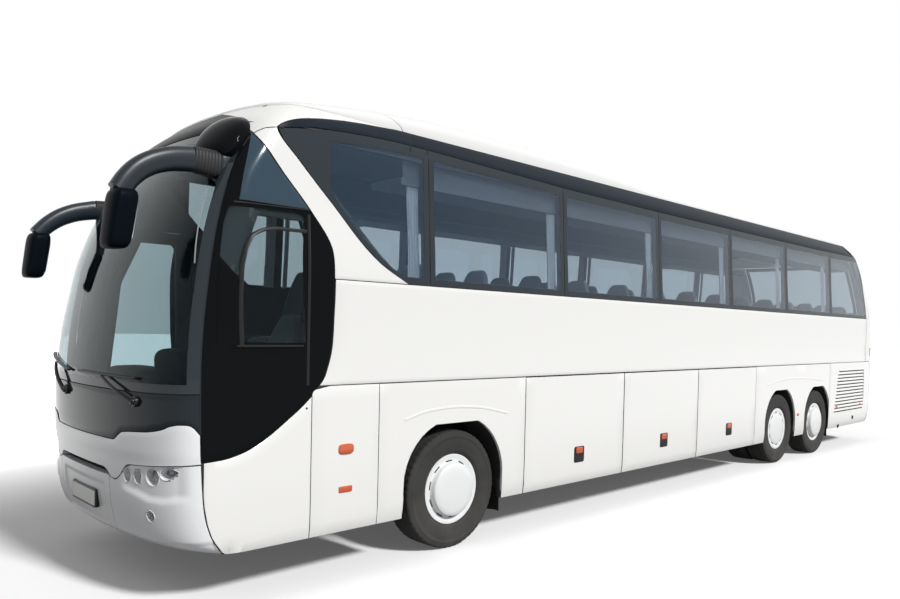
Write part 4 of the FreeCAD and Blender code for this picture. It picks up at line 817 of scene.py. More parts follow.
# Pane between two ends given as functions of height; cells inside the rim are clear glass.
def paneGrid(surface, low, highOf, backOf, frontOf, rims):
    rimLow, rimHigh, rimBack, rimFront = rims
    rows, columns = 9, 9
    v = np.concatenate([[0], np.linspace(0, 1, rows), [1]])
    u = np.concatenate([[0], np.linspace(0, 1, columns), [1]])
    grid = np.zeros((len(v), len(u), 2))
    for j, t in enumerate(u):
        def along(z):
            x0, x1 = backOf(z) + rimBack, np.minimum(frontOf(z) - rimFront, glass["clearFront"])
            return backOf(z) if j == 0 else frontOf(z) if j == len(u) - 1 else x0 + (x1 - x0) * t
        # height of this column: its top is read where the column meets the seam; the rims keep their widths
        top = highOf(along(highOf(along(np.array(3.34)))))
        clear = low + rimLow + (top - rimHigh - low - rimLow) * np.linspace(0, 1, rows)
        z = np.concatenate([[low], clear, [top]])
        column = along(z)
        grid[:, j, 0], grid[:, j, 1] = column, z
    cells = np.zeros((len(v) - 1, len(u) - 1), int)
    cells[1:-1, 1:-1] = 1
    return surface(grid[..., 0], grid[..., 1], proud), cells


def addGlassBand(side):
    sign, surface = sides[side]
    low = beltZ + 0.002
    top = lambda x: bandTopZ(x) - 0.003
    rims = (glass["rimLow"], glass["rimHigh"], glass["rimSide"], glass["rimSide"])
    for i in range(7):
        if i == 0:
            back = even(firstPost + seam / 2)
            front = lambda z: nose.inner(z) + nose.corner - sweptS(z) - seam / 2
        elif i == 6:
            back = lambda z: rearX(z) + 0.03
            front = even(lastPost - seam / 2)
        else:
            back = even(firstPost - i * postPitch + seam / 2)
            front = even(firstPost - (i - 1) * postPitch - seam / 2)
        grid, cells = paneGrid(surface, low, top, back, front, rims)
        piece = Builder().shell(grid, glass["deep"], 0.003, cells, rimIndex=0)
        nodes = ("side_glass",) if side == "left" and i == 0 else ()
        place(piece.object(f"pane_{side}_{i}", [fritBlack, sideGlass]), "coach_body", "side_glass", *nodes)
    # dark cove between the glass and the roof edge, pointed at its front end
    x = np.concatenate([axleX + np.linspace(1.755, 0.6, 24),
            np.linspace(axleX + 0.5, rearX(3.5) + 0.03, 40)])[::-1]
    pointed = lambda at: smoothCurve(coveRows[::-1, 0], coveRows[::-1, 1], at - axleX)
    high = lambda at: np.where(at > axleX + 0.6, pointed(at), roofEdgeZ - 0.001)
    cove = columnPatch(surface, x, lambda at: bandTopZ(at) + 0.003, high, 0.05)
    addSkin(f"cove_{side}", cove, coveBlack, "coach_body", "black_gloss")
    seamLine = Builder()
    joint = [(axleX + 0.555, 3.566), (axleX + 0.5, 3.53), (axleX + 0.54, 3.4)]
    addRibbon(seamLine, surface, joint, 0.007, 0.0012)
    place(seamLine.object(f"coveSeam_{side}", blackAndSlotShade), "coach_body", "black_plastic")
    # white strip behind the last window
    grid = rowPatch(surface, beltZ - 0.002, roofEdgeZ - 0.001, tail.inner, lambda z: rearX(z) + 0.024,
        0.05, 0.1)
    addSkin(f"rearStrip_{side}", grid, whitePaint)


for side in sides:
    addGlassBand(side)

# White pillar from the wall up to the roof's front corner, over the black cab area.
for side, (sign, surface) in sides.items():
    wrap = noseSide(sign)
    zs = np.concatenate([[beltZ + 0.001, beltZ + 0.005], np.linspace(beltZ + 0.03, 3.3, 26),
            np.linspace(3.315, roofEdgeZ - 0.004, 14), [roofEdgeZ - 0.0005]])
    coveS = lambda z: nose.inner(z) + nose.corner - axleX - smoothCurve(coveRows[:, 1], coveRows[:, 0], z)
    front = capFrontS(zs)
    if side == "right":
        doorBack = nose.inner(zs) + nose.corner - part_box("front_door")[0].x + doorGap
        front = np.where(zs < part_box("front_door")[1].z + doorGap, np.maximum(front, doorBack), front)
    back = np.where(zs < 3.35, sweptS(zs) - seam / 2, coveS(zs) - seam / 2)
    t = ticks(1.0, 0.05, 0.005)
    grid = wrap(front[:, None] * (1 - t) + back[:, None] * t, zs[:, None], proud + 0.001)
    addSkin(f"pillar_{side}", grid, whitePaint, thick=body["skin"] + 0.001, edge=0.005)
print("glass")

# Cab sides: black area with the driver's window on the left and the front door on the right.
cab = {
    # x ahead of the front axle at each height: seam between the front pieces and the cab side
    "frontSeam": [(1.3, 2.336), (1.5, 2.338), (1.633, 2.337), (1.895, 2.323), (2.156, 2.294), (2.423, 2.255),
        (2.837, 2.145), (3.38, 1.905), (3.57, 1.8)],
    # corners in x, z; each with its rounding
    "window": [(1.505, 1.771, 0.02), (2.225, 1.771, 0.03), (2.232, 2.34, 0.3), (2.15, 2.762, 0.02),
        (1.52, 2.766, 0.04)],
    "clear": [(1.545, 1.812, 0.03), (2.045, 1.812, 0.03), (2.062, 2.235, 0.02), (2.215, 2.385, 0.02),
        (2.2, 2.56, 0.2), (2.132, 2.742, 0.02), (1.56, 2.744, 0.05)],
    "slider": [(2.055, 1.79), (2.068, 2.1), (2.06, 2.33), (2.03, 2.46), (1.985, 2.55), (1.9, 2.598),
        (1.8, 2.618), (1.54, 2.622)],
    "quarterLine": 2.778, "sealWidth": 0.014,
    "doorSill": 1.3,
}
seamRows = np.array(cab["frontSeam"])


def frontSeamX(z):
    return axleX + np.where(z < 1.3, frontLineX(np.minimum(z, 1.3)) - axleX,
        smoothCurve(seamRows[:, 0], seamRows[:, 1], z))


def frontSeamS(z):
    return nose.fromX(frontSeamX(z), z)


# Rounded loop from rows of x, z and radius, as wrap coordinates or left in x.
def cornerLoop(rows, wrapped=True, count=6):
    rows = np.asarray(rows, float)
    loop = roundedLoop(rows[:, :2] + [axleX, 0], rows[:, 2], count)
    if wrapped:
        loop[:, 0] = nose.fromX(loop[:, 0], loop[:, 1])
    return loop


def sideLoop(points):
    return np.concatenate([np.asarray(p, float).reshape(-1, 2) for p in points])


seamZ = np.linspace(1.02, 3.34, 30)
capZ = np.linspace(3.335, 2.3, 40)
wallZ = np.linspace(2.285, 1.46, 40)
cabLoop = sideLoop([np.stack([frontSeamS(seamZ) + seam / 2, seamZ], -1),
        np.stack([capFrontS(capZ) + 0.001, capZ], -1), np.stack([cabWallRows(wallZ), wallZ], -1),
        np.stack([nose.inner(1.2) + nose.corner - np.linspace(axleX + 1.49, axleX + 2.31, 24),
                cabLowZ(np.linspace(axleX + 1.49, axleX + 2.31, 24))], -1)])
leftNose, rightNose = noseSide(1), noseSide(-1)
windowLoop = cornerLoop(cab["window"])
clearLoop = cornerLoop(cab["clear"])
windowMiddle = windowLoop.mean(0)
cabRing = ringPatch(leftNose, windowMiddle, cabLoop, windowLoop, 10, 160)
cabSkin = Builder().shell(cabRing, body["skin"], 0.004, loop=True)
place(cabSkin.object("cabSkinLeft", blackGloss), "coach_body", "black_gloss")
window = Builder()
borderLoop = windowLoop + (windowMiddle - windowLoop) * 0.004
window.shell(ringPatch(leftNose, windowMiddle, borderLoop, clearLoop, 2, 72), 0.006, 0.002, 0, loop=True)
window.shell(ringPatch(leftNose, windowMiddle, clearLoop, None, 4, 72), 0.006, 0.0, 1, loop=True, pole=True)
place(window.object("driverWindow", [blackGloss, screenGlass]), "coach_body", "screen_glass")
frames = Builder()
slider = np.array(cab["slider"]) + [axleX, 0]
slider[:, 0] = nose.fromX(slider[:, 0], slider[:, 1])
bar = nose.inner(2.0) + nose.corner - axleX
addRibbon(frames, leftNose, slider, 0.036, 0.008)
barZ = np.linspace(1.5, 2.75, 26)
addRibbon(frames, leftNose, np.stack([nose.fromX(axleX + 1.528, barZ), barZ], -1), 0.026, 0.006)
addRibbon(frames, leftNose, [(bar - 2.045, 1.789), (bar - 1.528, 1.789)], 0.022, 0.008)
place(frames.object("sliderFrame", blackPlastic), "coach_body", "black_plastic")
# Quarter glass over the black cab on both sides: an opaque pane, its dark blue a painted sky reflection.
quarter = Builder()
for sign, wrap in ((1, leftNose), (-1, rightNose)):
    zs = cab["quarterLine"] + 0.01 + (3.318 - cab["quarterLine"]) * ticks(0.5, 0.04)
    back = capFrontS(zs) - 0.012
    front = np.minimum(frontSeamS(zs) + 0.05 + 0.06 * np.clip((3.318 - zs) / 0.5, 0, 1), back - 0.01)
    t = ticks(0.5, 0.05)
    grid = wrap(front[:, None] * (1 - t) + back[:, None] * t, zs[:, None], proud + 0.002)
    quarter.shell(grid, 0.0045, 0.003)
place(quarter.object("quarterGlassPaintedReflection", quarterGlassPaintedReflection), "coach_body", "side_glass")
seal = Builder()
for sign, wrap in ((1, leftNose), (-1, rightNose)):
    sealZ = cab["quarterLine"]
    fore, aft = float(frontSeamS(np.array(sealZ))) + 0.08, float(capFrontS(np.array(sealZ))) - 0.01
    addRibbon(seal, wrap, [(fore, sealZ - 0.01), (aft, sealZ + 0.004)], cab["sealWidth"], 0.006)
place(seal.object("quarterSeal", blackPlastic), "coach_body", "black_plastic")

# White corner panels between the wheel panel and the front.
def cornerLow(x):
    rows = np.array(sideMap["frontLine"])
    return np.where(x > axleX + rows[0, 1], smoothCurve(rows[:, 1], rows[:, 0], x - axleX), skirtZ)


for side, (sign, surface) in sides.items():
    foot = axleX + sideMap["panelSeams"][0] if side == "left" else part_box("front_door")[1].x + doorGap
    x = foot + seam / 2 + (axleX + 2.312 - foot - seam / 2) * ticks(0.83, 0.03)
    top = lambda at: np.maximum(cabLowZ(at) - 0.004, cornerLow(at) + 0.01)
    addSkin(f"cornerPanel_{side}", columnPatch(surface, x, cornerLow, top, 0.08), whitePaint, edge=0.005)
    back = axleX + sideMap["panelSeams"][1]
    front = foot if side == "left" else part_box("front_door")[0].x - doorGap + seam / 2
    swept = lambda at: cabLowZ(np.maximum(at, cabX.min())) + 0.03
    lowerPanel(side, f"steelPanel_{side}", back, front, "coach_body",
        high=lambda at: np.minimum(rubTop, np.where(at > axleX + 1.35, swept(at), rubTop)))

# Front door on the right: white foot below the black sweep, black frame and a tall window.
doorLow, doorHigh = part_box("front_door")
doorBack, doorFront = doorLow.x - axleX, doorHigh.x - axleX
sill = skirtZ + 0.038
x = doorLow.x + 0.002 + (doorHigh.x - doorLow.x - 0.004) * ticks(0.87, 0.05)
rightSide = sides["right"][1]
foot = columnPatch(rightSide, x, even(sill), lambda at: np.minimum(cabLowZ(np.maximum(at, cabX.min())),
        cab["doorSill"]), 0.1)
addSkin("doorFoot", foot, whitePaint, "front_door", edge=0.005)
footTop = np.stack([nose.fromX(x[::-1], foot[-1, ::-1, 2]), foot[-1, ::-1, 2] + 0.001], -1)
beltX = doorFront - 0.1
doorOutline = sideLoop([footTop, cornerLoop([(doorBack, 2.67, 0.05), (doorBack + 0.11, doorHigh.z, 0.1),
                (doorFront - 0.31, doorHigh.z, 0.1), (beltX, beltZ, 0.4), (doorFront, 1.5, 0.3)])])
doorWindow = cornerLoop([(doorBack + 0.105, 1.345, 0.05), (doorBack + 0.145, doorHigh.z - 0.105, 0.06),
        (doorFront - 0.365, doorHigh.z - 0.105, 0.06), (doorFront - 0.17, beltZ, 0.4),
        (doorFront - 0.08, 1.5, 0.2), (doorFront - 0.085, 1.345, 0.05)])
doorMiddle = doorWindow.mean(0)
door = Builder()
doorRing = ringPatch(rightNose, doorMiddle, doorOutline, doorWindow, 4, 96)
door.shell(doorRing, body["skin"], 0.004, 0, loop=True)
door.shell(ringPatch(rightNose, doorMiddle, doorWindow, None, 4, 96), 0.006, 0.0, 1, loop=True, pole=True)
place(door.object("frontDoorSkin", [blackGloss, screenGlass]), "front_door", "black_gloss",
    "front_door_glass")

# Black area above and ahead of the front door.
doorFrontRows = np.array([(0.9, doorFront), (1.5, doorFront), (beltZ, beltX), (doorHigh.z, doorFront - 0.31)])
ahead = lambda z: nose.fromX(axleX + np.interp(z, doorFrontRows[:, 0], doorFrontRows[:, 1]) + doorGap, z)
over = Builder()
behindSeam = lambda z: frontSeamS(z) + seam / 2
underCap = lambda z: np.maximum(capFrontS(z) + 0.001, frontSeamS(z) + 0.02)
doorTop = doorHigh.z + doorGap
over.shell(rowPatch(rightNose, 1.03, doorTop, behindSeam, ahead, 0.05, 0.08), body["skin"])
over.shell(rowPatch(rightNose, doorTop + 0.001, 3.335, behindSeam, underCap, 0.05, 0.05), body["skin"])
place(over.object("cabSkinRight", blackGloss), "coach_body", "black_gloss")

# Middle door: white with a rounded window.
xLow, xHigh = middleLow.x + 0.002, middleHigh.x - 0.002
leafTop = middleHigh.z - 0.002
outline = roundedLoop([(xLow, sill), (xHigh, sill), (xHigh, leafTop), (xLow, leafTop)], 0.012, 3)
opening = roundedLoop([(xLow + 0.108, 1.352), (xHigh - 0.108, 1.352), (xHigh - 0.108, beltZ - 0.152),
        (xLow + 0.108, beltZ - 0.152)], 0.04)
middle = np.array([(xLow + xHigh) / 2, 1.7])
leaf = Builder()
leaf.shell(ringPatch(rightSide, middle, outline, opening, 4, 64), body["skin"], 0.005, 0, loop=True)
leaf.shell(ringPatch(rightSide, middle, opening, None, 3, 64), 0.006, 0.0, 1, loop=True, pole=True)
place(leaf.object("middleDoorSkin", [whitePaint, sideGlass]), "middle_door", "body_paint",
    "middle_door_glass")
print("cab sides")

# Front: windscreen in a black border, header, black panel, pale fascia, air slot, bumper and lamps.
front = {
    "screenLow": 1.472, "screenTop": 3.334, "borderSide": 0.085, "borderLow": 0.06, "borderHigh": 0.075,
    # y and z across from the middle line; the end rows are s and z
    "fasciaTop": [(0.0, 1.12), (0.59, 1.12), (0.63, 1.13), (0.674, 1.158), (0.727, 1.184), (0.844, 1.196),
        (0.985, 1.206), (1.112, 1.229), (1.171, 1.256)],
    "fasciaTopEnd": [(1.264, 1.267), (1.302, 1.267), (1.329, 1.262), (1.353, 1.248), (1.377, 1.22),
        (1.394, 1.197)],
    "fasciaLow": [(0.0, 0.918), (0.44, 0.914), (0.52, 0.884), (0.562, 0.853), (0.606, 0.851), (0.655, 0.872),
        (0.694, 0.905), (0.733, 0.944), (0.782, 0.97), (0.997, 0.985), (1.205, 1.002)],
    "fasciaLowEnd": [(1.394, 1.008)],
    "bumperTop": [(0.0, 0.866), (0.5, 0.862), (0.566, 0.844), (0.608, 0.841), (0.66, 0.862), (0.702, 0.896),
        (0.741, 0.934), (0.787, 0.96), (0.997, 0.975), (1.205, 0.992)],
    "bumperTopEnd": [(1.394, 0.998)],
    "slotDepth": 0.055,
    # ledge under the lamps: y, z; how deep the lamp bay lies behind it
    "ledge": [(0.6, 0.822), (0.726, 0.815), (0.843, 0.8), (0.993, 0.768), (1.113, 0.768), (1.22, 0.792)],
    "bayDepth": 0.014,
    "lipZ": 0.47, "lipStep": 0.012,
    "flapY": 0.53, "plateZ": 0.652,
    # y, z, half width, half height, pointed outwards
    "lamps": [(0.758, 0.894, 0.044, 0.049, 0), (0.874, 0.898, 0.044, 0.052, 0),
        (1.018, 0.908, 0.06, 0.058, 0), (1.146, 0.942, 0.072, 0.04, 1)],
    "fog": (0.995, 0.645, 0.038, 0.038, 0),
}
frontSpan = 1.394


# Edge across the front as a function of s: y and z rows turned into s, with the seam's own height at its end.
def frontEdge(rows, end):
    rows, end = np.array(rows), np.array(end)
    s = np.append(nose.fromY(rows[:, 0], rows[:, 1]), end[:, 0])
    z = np.append(rows[:, 1], end[:, 1])
    return lambda at: smoothCurve(s, z, np.minimum(np.abs(at), frontSpan))


fasciaTop = frontEdge(front["fasciaTop"], front["fasciaTopEnd"])
fasciaLow = frontEdge(front["fasciaLow"], front["fasciaLowEnd"])
bumperTop = frontEdge(front["bumperTop"], front["bumperTopEnd"])


# Places across the front from seam to seam: even steps with closer ones where the edges kink.
def acrossFront(step):
    t = np.linspace(-1, 1, int(2 * frontSpan / step) | 1)
    kinks = np.linspace(0.4, 0.58, 22)
    ends = 1 - 0.14 * np.linspace(0, 1, 14) ** 1.4
    t = np.unique(np.round(np.concatenate([t, kinks, -kinks, ends, -ends]), 5))
    return t[np.concatenate([[True], np.diff(t) > 0.0008])]


# Grid across the front between two edges; t runs from seam to seam and follows their slant.
def frontGrid(lowOf, highOf, t, rise, edge=0.004):
    low, high = lowOf(t * frontSpan), highOf(t * frontSpan)
    v = ticks(np.mean(high - low), rise, edge)
    z = low + (high - low) * v[:, None]
    return t * (frontSeamS(z) - seam / 2), z


def softStep(value, start, end):
    t = np.clip((value - start) / (end - start), 0, 1)
    return t * t * (3 - 2 * t)


# How far the bumper's face lies behind the body surface: lamp bay, plate recess and lower lip.
def bumperDepth(s, z):
    y = np.abs(nose(s, z)[..., 1])
    ledge = np.interp(y, *np.array(front["ledge"]).T)
    bay = softStep(y, 0.66, 0.8) * (1 - softStep(y, 1.19, 1.265)) * softStep(z, ledge - 0.03, ledge + 0.012)
    recess = (1 - softStep(y, 0.425, 0.445)) * softStep(z, 0.48, 0.5) * (1 - softStep(z, 0.78, 0.805))
    lip = 1 - softStep(z, front["lipZ"] - 0.012, front["lipZ"])
    return front["bayDepth"] * bay + 0.012 * recess + front["lipStep"] * lip


# Outline of a lamp round its centre; a pointed one narrows towards the side.
def lampLoop(half, pointed, count=48):
    turn = np.linspace(0, 2 * math.pi, count, endpoint=False)
    a, b = half[0] * np.cos(turn), half[1] * np.sin(turn)
    share = a / half[0]
    return np.stack([a, b * (1 - 0.55 * pointed * np.clip(share, -0.2, 1)) + pointed * 0.01 * share], -1)


# Front lamp: rounded body-coloured lip, silvered bowl and a clear lens inside.
def addLamp(builder, sign, row):
    y, z, halfS, halfZ, pointed = row
    s = float(nose.fromY(np.array(y), np.array(z)))
    base = proud - float(bumperDepth(np.array(s), np.array(z)))
    loop = lampLoop((halfS, halfZ), pointed)

    def rings(rows):
        rows = np.array(rows)
        at = s + loop[None, :, 0] * rows[:, :1]
        return nose(sign * at, z + loop[None, :, 1] * rows[:, :1], base + rows[:, 1:2])
    bowl = [(0, -0.058), (0.35, -0.057), (0.7, -0.048), (0.9, -0.028), (0.98, -0.006), (1.0, 0.001)]
    lip = [(0.985, -0.004), (1.0, 0.0015), (1.03, 0.003), (1.07, 0.002), (1.1, -0.004)]
    lens = [(0, -0.026), (0.2, -0.028), (0.4, -0.035), (0.52, -0.045), (0.56, -0.056)]
    for rows, index in ((bowl, 1), (lip, 0), (lens, 2)):
        builder.shell(rings(rows), 0.002, 0.0, index, loop=True, pole=index > 0)


t = acrossFront(0.03)
rowsZ = np.concatenate([[front["screenLow"]], np.linspace(front["screenLow"] + front["borderLow"],
            front["screenTop"] - front["borderHigh"], 26), [front["screenTop"]]])
inside = 1 - front["borderSide"] / frontSpan
columnsT = np.concatenate([[-1], np.linspace(-inside, inside, 60), [1]])
edgeS = frontSeamS(rowsZ) - seam / 2
cells = np.zeros((len(rowsZ) - 1, len(columnsT) - 1), int)
cells[1:-1, 1:-1] = 1
screen = nose(columnsT * edgeS[:, None], rowsZ[:, None], proud)
screenPane = Builder().shell(screen, 0.006, 0.003, cells, rimIndex=0)
place(screenPane.object("windscreenGlass", [fritBlack, screenGlass]), "coach_body", "screen_glass",
    "windscreen")
headerZ = front["screenTop"] + seam + (roofEdgeZ - 0.001 - front["screenTop"] - seam) * ticks(0.23, 0.03)
headerT = np.linspace(-1, 1, 61)
headerS = np.minimum(capFrontS(headerZ), 1.6)
addSkin("header", nose(headerT * headerS[:, None], headerZ[:, None], proud), headerBlack, "coach_body",
    "black_gloss", edge=0.003)

# black panel between the windscreen and the fascia
s, z = frontGrid(lambda at: fasciaTop(at) + 0.004, even(front["screenLow"] - seam), t, 0.06)
addSkin("frontPanel", nose(s, z, proud), frontBlack, "coach_body", "black_gloss", "front_mask", edge=0.003)

# fascia; its lower edge turns in over the slot
s, z = frontGrid(fasciaLow, fasciaTop, t, 0.035)
s, z = np.concatenate([s[:1], s[:1], s]), np.concatenate([z[:1] + 0.002, z[:1], z])
out = np.full(z.shape, proud)
out[0], out[1] = -front["slotDepth"], proud - 0.008
bulge = softStep(z, 1.0, 1.06) * 0.004
addSkin("fascia", nose(s, z, out + bulge), fasciaPaint, edge=0.003)

# bumper with its lamp bays; the places inside each lamp are pushed in behind its bowl
bumperT = acrossFront(0.014)
flapS = float(nose.fromY(np.array(front["flapY"]), np.array(0.6))) / frontSpan
grooves = np.array([-0.0045, -0.0015, 0.0015, 0.0045]) / frontSpan
bumperT = bumperT[np.min(np.abs(np.abs(bumperT)[:, None] - flapS - grooves), 1) > 0.004]
bumperT = np.sort(np.concatenate([bumperT, flapS + grooves, -flapS - grooves]))
s, z = frontGrid(even(skirtZ), bumperTop, bumperT, 0.014)
depth = bumperDepth(s, z)
groove = np.isclose(np.abs(bumperT)[None], flapS + grooves[1], atol=1e-6)
groove = groove | np.isclose(np.abs(bumperT)[None], flapS + grooves[2], atol=1e-6)
depth = depth + 0.008 * groove * (z > 0.375)
for y, lampZ, halfS, halfZ, pointed in front["lamps"] + [front["fog"]]:
    centre = float(nose.fromY(np.array(y), np.array(lampZ)))
    turn = np.arctan2((z - lampZ) / halfZ, (np.abs(s) - centre) / halfS)
    loop = lampLoop((halfS, halfZ), pointed, 181)
    reach = np.hypot(*loop.T)
    around = np.arctan2(loop[:, 1] / halfZ, loop[:, 0] / halfS)
    order = np.argsort(around)
    limit = np.interp(turn, around[order], reach[order], period=2 * math.pi)
    away = np.hypot(np.abs(s) - centre, z - lampZ)
    near = np.abs(away / limit - 1.0) < 0.13
    scale = np.where(near, 1.03 * limit / np.maximum(away, 1e-6), 1)
    s = np.where(near, np.sign(s) * (centre + (np.abs(s) - centre) * scale), s)
    z = np.where(near, lampZ + (z - lampZ) * scale, z)
    depth = depth + 0.075 * (away < 0.87 * limit)
s, z, depth = (np.concatenate([a, a[-1:], a[-1:]]) for a in (s, z, depth))
out = proud - depth
out[-2], out[-1] = -0.012, -front["slotDepth"]
out[-2:] -= depth[-2:]
addSkin("bumperFront", nose(s, z, out), fasciaPaint, "coach_body", "body_paint", "front_bumper", edge=0.003)

# dark lining behind the slot and the seams
s, z = frontGrid(even(skirtZ + 0.05), even(front["screenLow"] - 0.01), np.linspace(-0.985, 0.985, 61), 0.1)
addSkin("frontLining", nose(s, z, -front["slotDepth"] - 0.02), blackAndSlotShade, "coach_body", "black_plastic",
    thick=0.004)
lampSet = Builder()
for sign in (1, -1):
    for row in front["lamps"] + [front["fog"]]:
        addLamp(lampSet, sign, row)
place(lampSet.object("frontLamps", [fasciaPaint, lampBowl, lensGlass]), "coach_body", "lamp_lens", "lamps")

# plate: blank, in a black frame
plateX = float(nose(0, front["plateZ"])[0])
plate = Builder()
addBlob(plate, blob((plateX - 0.006, 0.04, front["plateZ"]), (0.014, 0.254, 0.068), 0.09, 48, 26), 0)
addBlob(plate, blob((plateX - 0.004, 0.04, front["plateZ"]), (0.0145, 0.239, 0.0535), 0.07, 48, 26), 1)
place(plate.object("frontPlate", [blackPlastic, plateBlank]), "coach_body", "black_plastic")

# silver-grey seal beside the windscreen
seal = Builder()
for wrap in (leftNose, rightNose):
    addRibbon(seal, wrap, [(1.105, 2.86), (1.113, 2.817), (1.147, 2.629), (1.209, 2.335)], 0.009, 0.003)
    z = np.linspace(1.2, 2.9, 60)
    addRibbon(seal, wrap, np.stack([frontSeamS(z), z], -1), 0.006, 0.003, 1)
    z = np.linspace(skirtZ + 0.02, 1.0, 30)
    addRibbon(seal, wrap, np.stack([frontSeamS(z), z], -1), 0.011, 0.0012, 2)
place(seal.object("screenSeal", [trimGrey, armPlastic, blackAndSlotShade]), "coach_body", "black_plastic")

# Wipers: pivot, tapering arm and a blade with its rubber; y and z of pivot, joint, blade ends.
wipers = [((0.88, 1.405), (0.45, 1.56), (0.88, 1.56), (0.02, 1.57)),
    ((-0.3, 1.405), (-0.64, 1.6), (-0.23, 1.56), (-1.0, 1.66))]


def onScreen(y, z, out):
    y, z = np.asarray(y, float), np.asarray(z, float)
    return nose(nose.fromY(y, z), z, out)


wiperSet = Builder()
for pivot, joint, bladeStart, bladeEnd in wipers:
    for radius, high in ((0.038, 0.02), (0.024, 0.036)):
        base = onScreen(*pivot, proud)
        profile = [(0, 0.0), (radius, 0.0), (radius, high * 0.8), (radius * 0.8, high), (0, high)]
        addTube(wiperSet, lathe(profile, base, (1, 0, 0.08), 20)[1:-1])
    t = np.linspace(0, 1, 16)
    arm = onScreen(pivot[0] + (joint[0] - pivot[0]) * t, pivot[1] + (joint[1] - pivot[1]) * t, proud
        + 0.026 + 0.012 * np.sin(t * math.pi))
    addTube(wiperSet, tube(arm, circle(0.017, 10, 0.6), 1.1 - 0.5 * t[:, None]), 0)
    t = np.linspace(0, 1, 40)
    line = [bladeStart[i] + (bladeEnd[i] - bladeStart[i]) * t for i in (0, 1)]
    addTube(wiperSet, tube(onScreen(*line, proud + 0.017), circle(0.013, 8, 0.7)), 0)
    addTube(wiperSet, tube(onScreen(*line, proud + 0.005), circle(0.004, 6, 1.6)), 0)
place(wiperSet.object("wiperSet", blackPlastic), "coach_body", "black_plastic", "wipers")
print("front")

# Roof: a raised front half falling to a low rear, closed onto the body's outline at the roof edge.
roof = {
    # x from the front axle on the middle line, rise over the roof edge
    "rise": [(1.835, 0.0), (1.82, 0.018), (1.78, 0.04), (1.6, 0.085), (1.34, 0.132), (0.86, 0.2),
        (0.33, 0.243), (-0.28, 0.261), (-0.97, 0.261), (-1.76, 0.246), (-2.49, 0.205), (-2.95, 0.14),
        (-3.35, 0.091), (-3.75, 0.082), (-9.3, 0.082), (-9.7, 0.066), (-9.88, 0.039), (-9.93, 0.0)],
    "crown": 3.0, "shoulder": 0.25,      # powers of the section: flat top, steep sides
    "seamX": 0.93,
    "rearLip": 0.01,                    # how far the roof reaches past the rear frame
}
riseRows = np.array(roof["rise"])[::-1]


# Across: y is half width x sine of the angle round the plan; along: from the nose's outline to the tail's;
# up: the rise on the middle line x (1 - |sine| ^ crown) ^ shoulder.
def roofGrid(centreX, angles):
    z = np.array(roofEdgeZ)
    wide = halfWidth - levelAt(z, 1) + proud
    power = 2 * body["cornerPower"]
    bow = np.clip(np.cos(angles), 0, 1) ** power
    ahead = nose.inner(z) + nose.depth * bow + proud
    astern = tail.inner(z) - tail.depth * bow - proud - roof["rearLip"]
    whole = riseRows[-1, 0] - riseRows[0, 0]
    v = (centreX - riseRows[0, 0]) / whole
    x = astern + (ahead - astern) * v[:, None]
    sine = np.sin(angles)
    dome = np.clip(1 - np.abs(sine) ** roof["crown"], 0, 1) ** roof["shoulder"]
    rise = smoothCurve(riseRows[:, 0], riseRows[:, 1], centreX)
    return np.stack([x, np.broadcast_to(wide * sine, x.shape), roofEdgeZ + rise[:, None] * dome], -1)


angle = math.pi / 2 * (1 - (1 - np.linspace(0, 1, 34)) ** 1.6)
angle = np.unique(np.concatenate([angle, -angle]))
seamX = roof["seamX"]
frontX = np.concatenate([seamX + 0.0035 + np.array([0, 0.004]), np.linspace(seamX + 0.05, 1.62, 14), 1.835
        - 0.17 * np.linspace(1, 0, 9) ** 1.6])
rearXs = np.concatenate([-9.93 + 0.55 * np.linspace(0, 1, 10) ** 1.6, np.linspace(-9.1, -3.9, 18),
        np.linspace(-3.7, seamX - 0.05, 46), seamX - 0.0035 - np.array([0.004, 0])])
addSkin("roofFront", roofGrid(frontX, angle), roofPaintShaded, "coach_body", "body_paint", "roof_fairing",
    thick=0.004, edge=0.003)
addSkin("roofRear", roofGrid(rearXs, angle), roofPaintShaded, thick=0.004, edge=0.003)
print("roof")

# Wheels: tyre with grooved tread, rim and white trim with slots; (radius, along the axle, outwards positive).
wheel = {
    "tread": 0.011,         # depth of the grooves
    "blocks": 54,           # shoulder blocks round the tyre
    "slots": 10,
    "slotSize": (0.074, 0.015),
}
beadRadius = 0.286
tyreHalf = (wheelHigh.y - wheelLow.y) / 2


def tyreProfile():
    side = [(beadRadius + 0.002, 0.09), (beadRadius + 0.018, 0.104), (beadRadius + 0.026, 0.116),
        (beadRadius + 0.034, 0.128), (beadRadius + 0.05, 0.136), (beadRadius + 0.053, 0.139),
        (beadRadius + 0.064, 0.1405), (beadRadius + 0.09, 0.1455), (beadRadius + 0.12, 0.1485),
        (beadRadius + 0.15, 0.1475), (beadRadius + 0.172, 0.145), (beadRadius + 0.175, 0.147),
        (beadRadius + 0.186, 0.146), (beadRadius + 0.19, 0.143), (tyreRadius - 0.026, 0.14),
        (tyreRadius - 0.012, 0.134), (tyreRadius - 0.004, 0.125), (tyreRadius - 0.002, 0.114),
        (tyreRadius - 0.0015, 0.086)]
    tread = [(tyreRadius - 0.001, 0.072)]
    for at in (0.06, 0.02):
        tread += [(tyreRadius - 0.0005, at + 0.0055), (tyreRadius - wheel["tread"], at + 0.0035),
            (tyreRadius - wheel["tread"], at - 0.0035), (tyreRadius - 0.0003, at - 0.0055)]
    half = np.array(side + tread)
    half[:, 1] *= tyreHalf / 0.149
    other = half[::-1] * [1, -1]
    return np.concatenate([half, other])


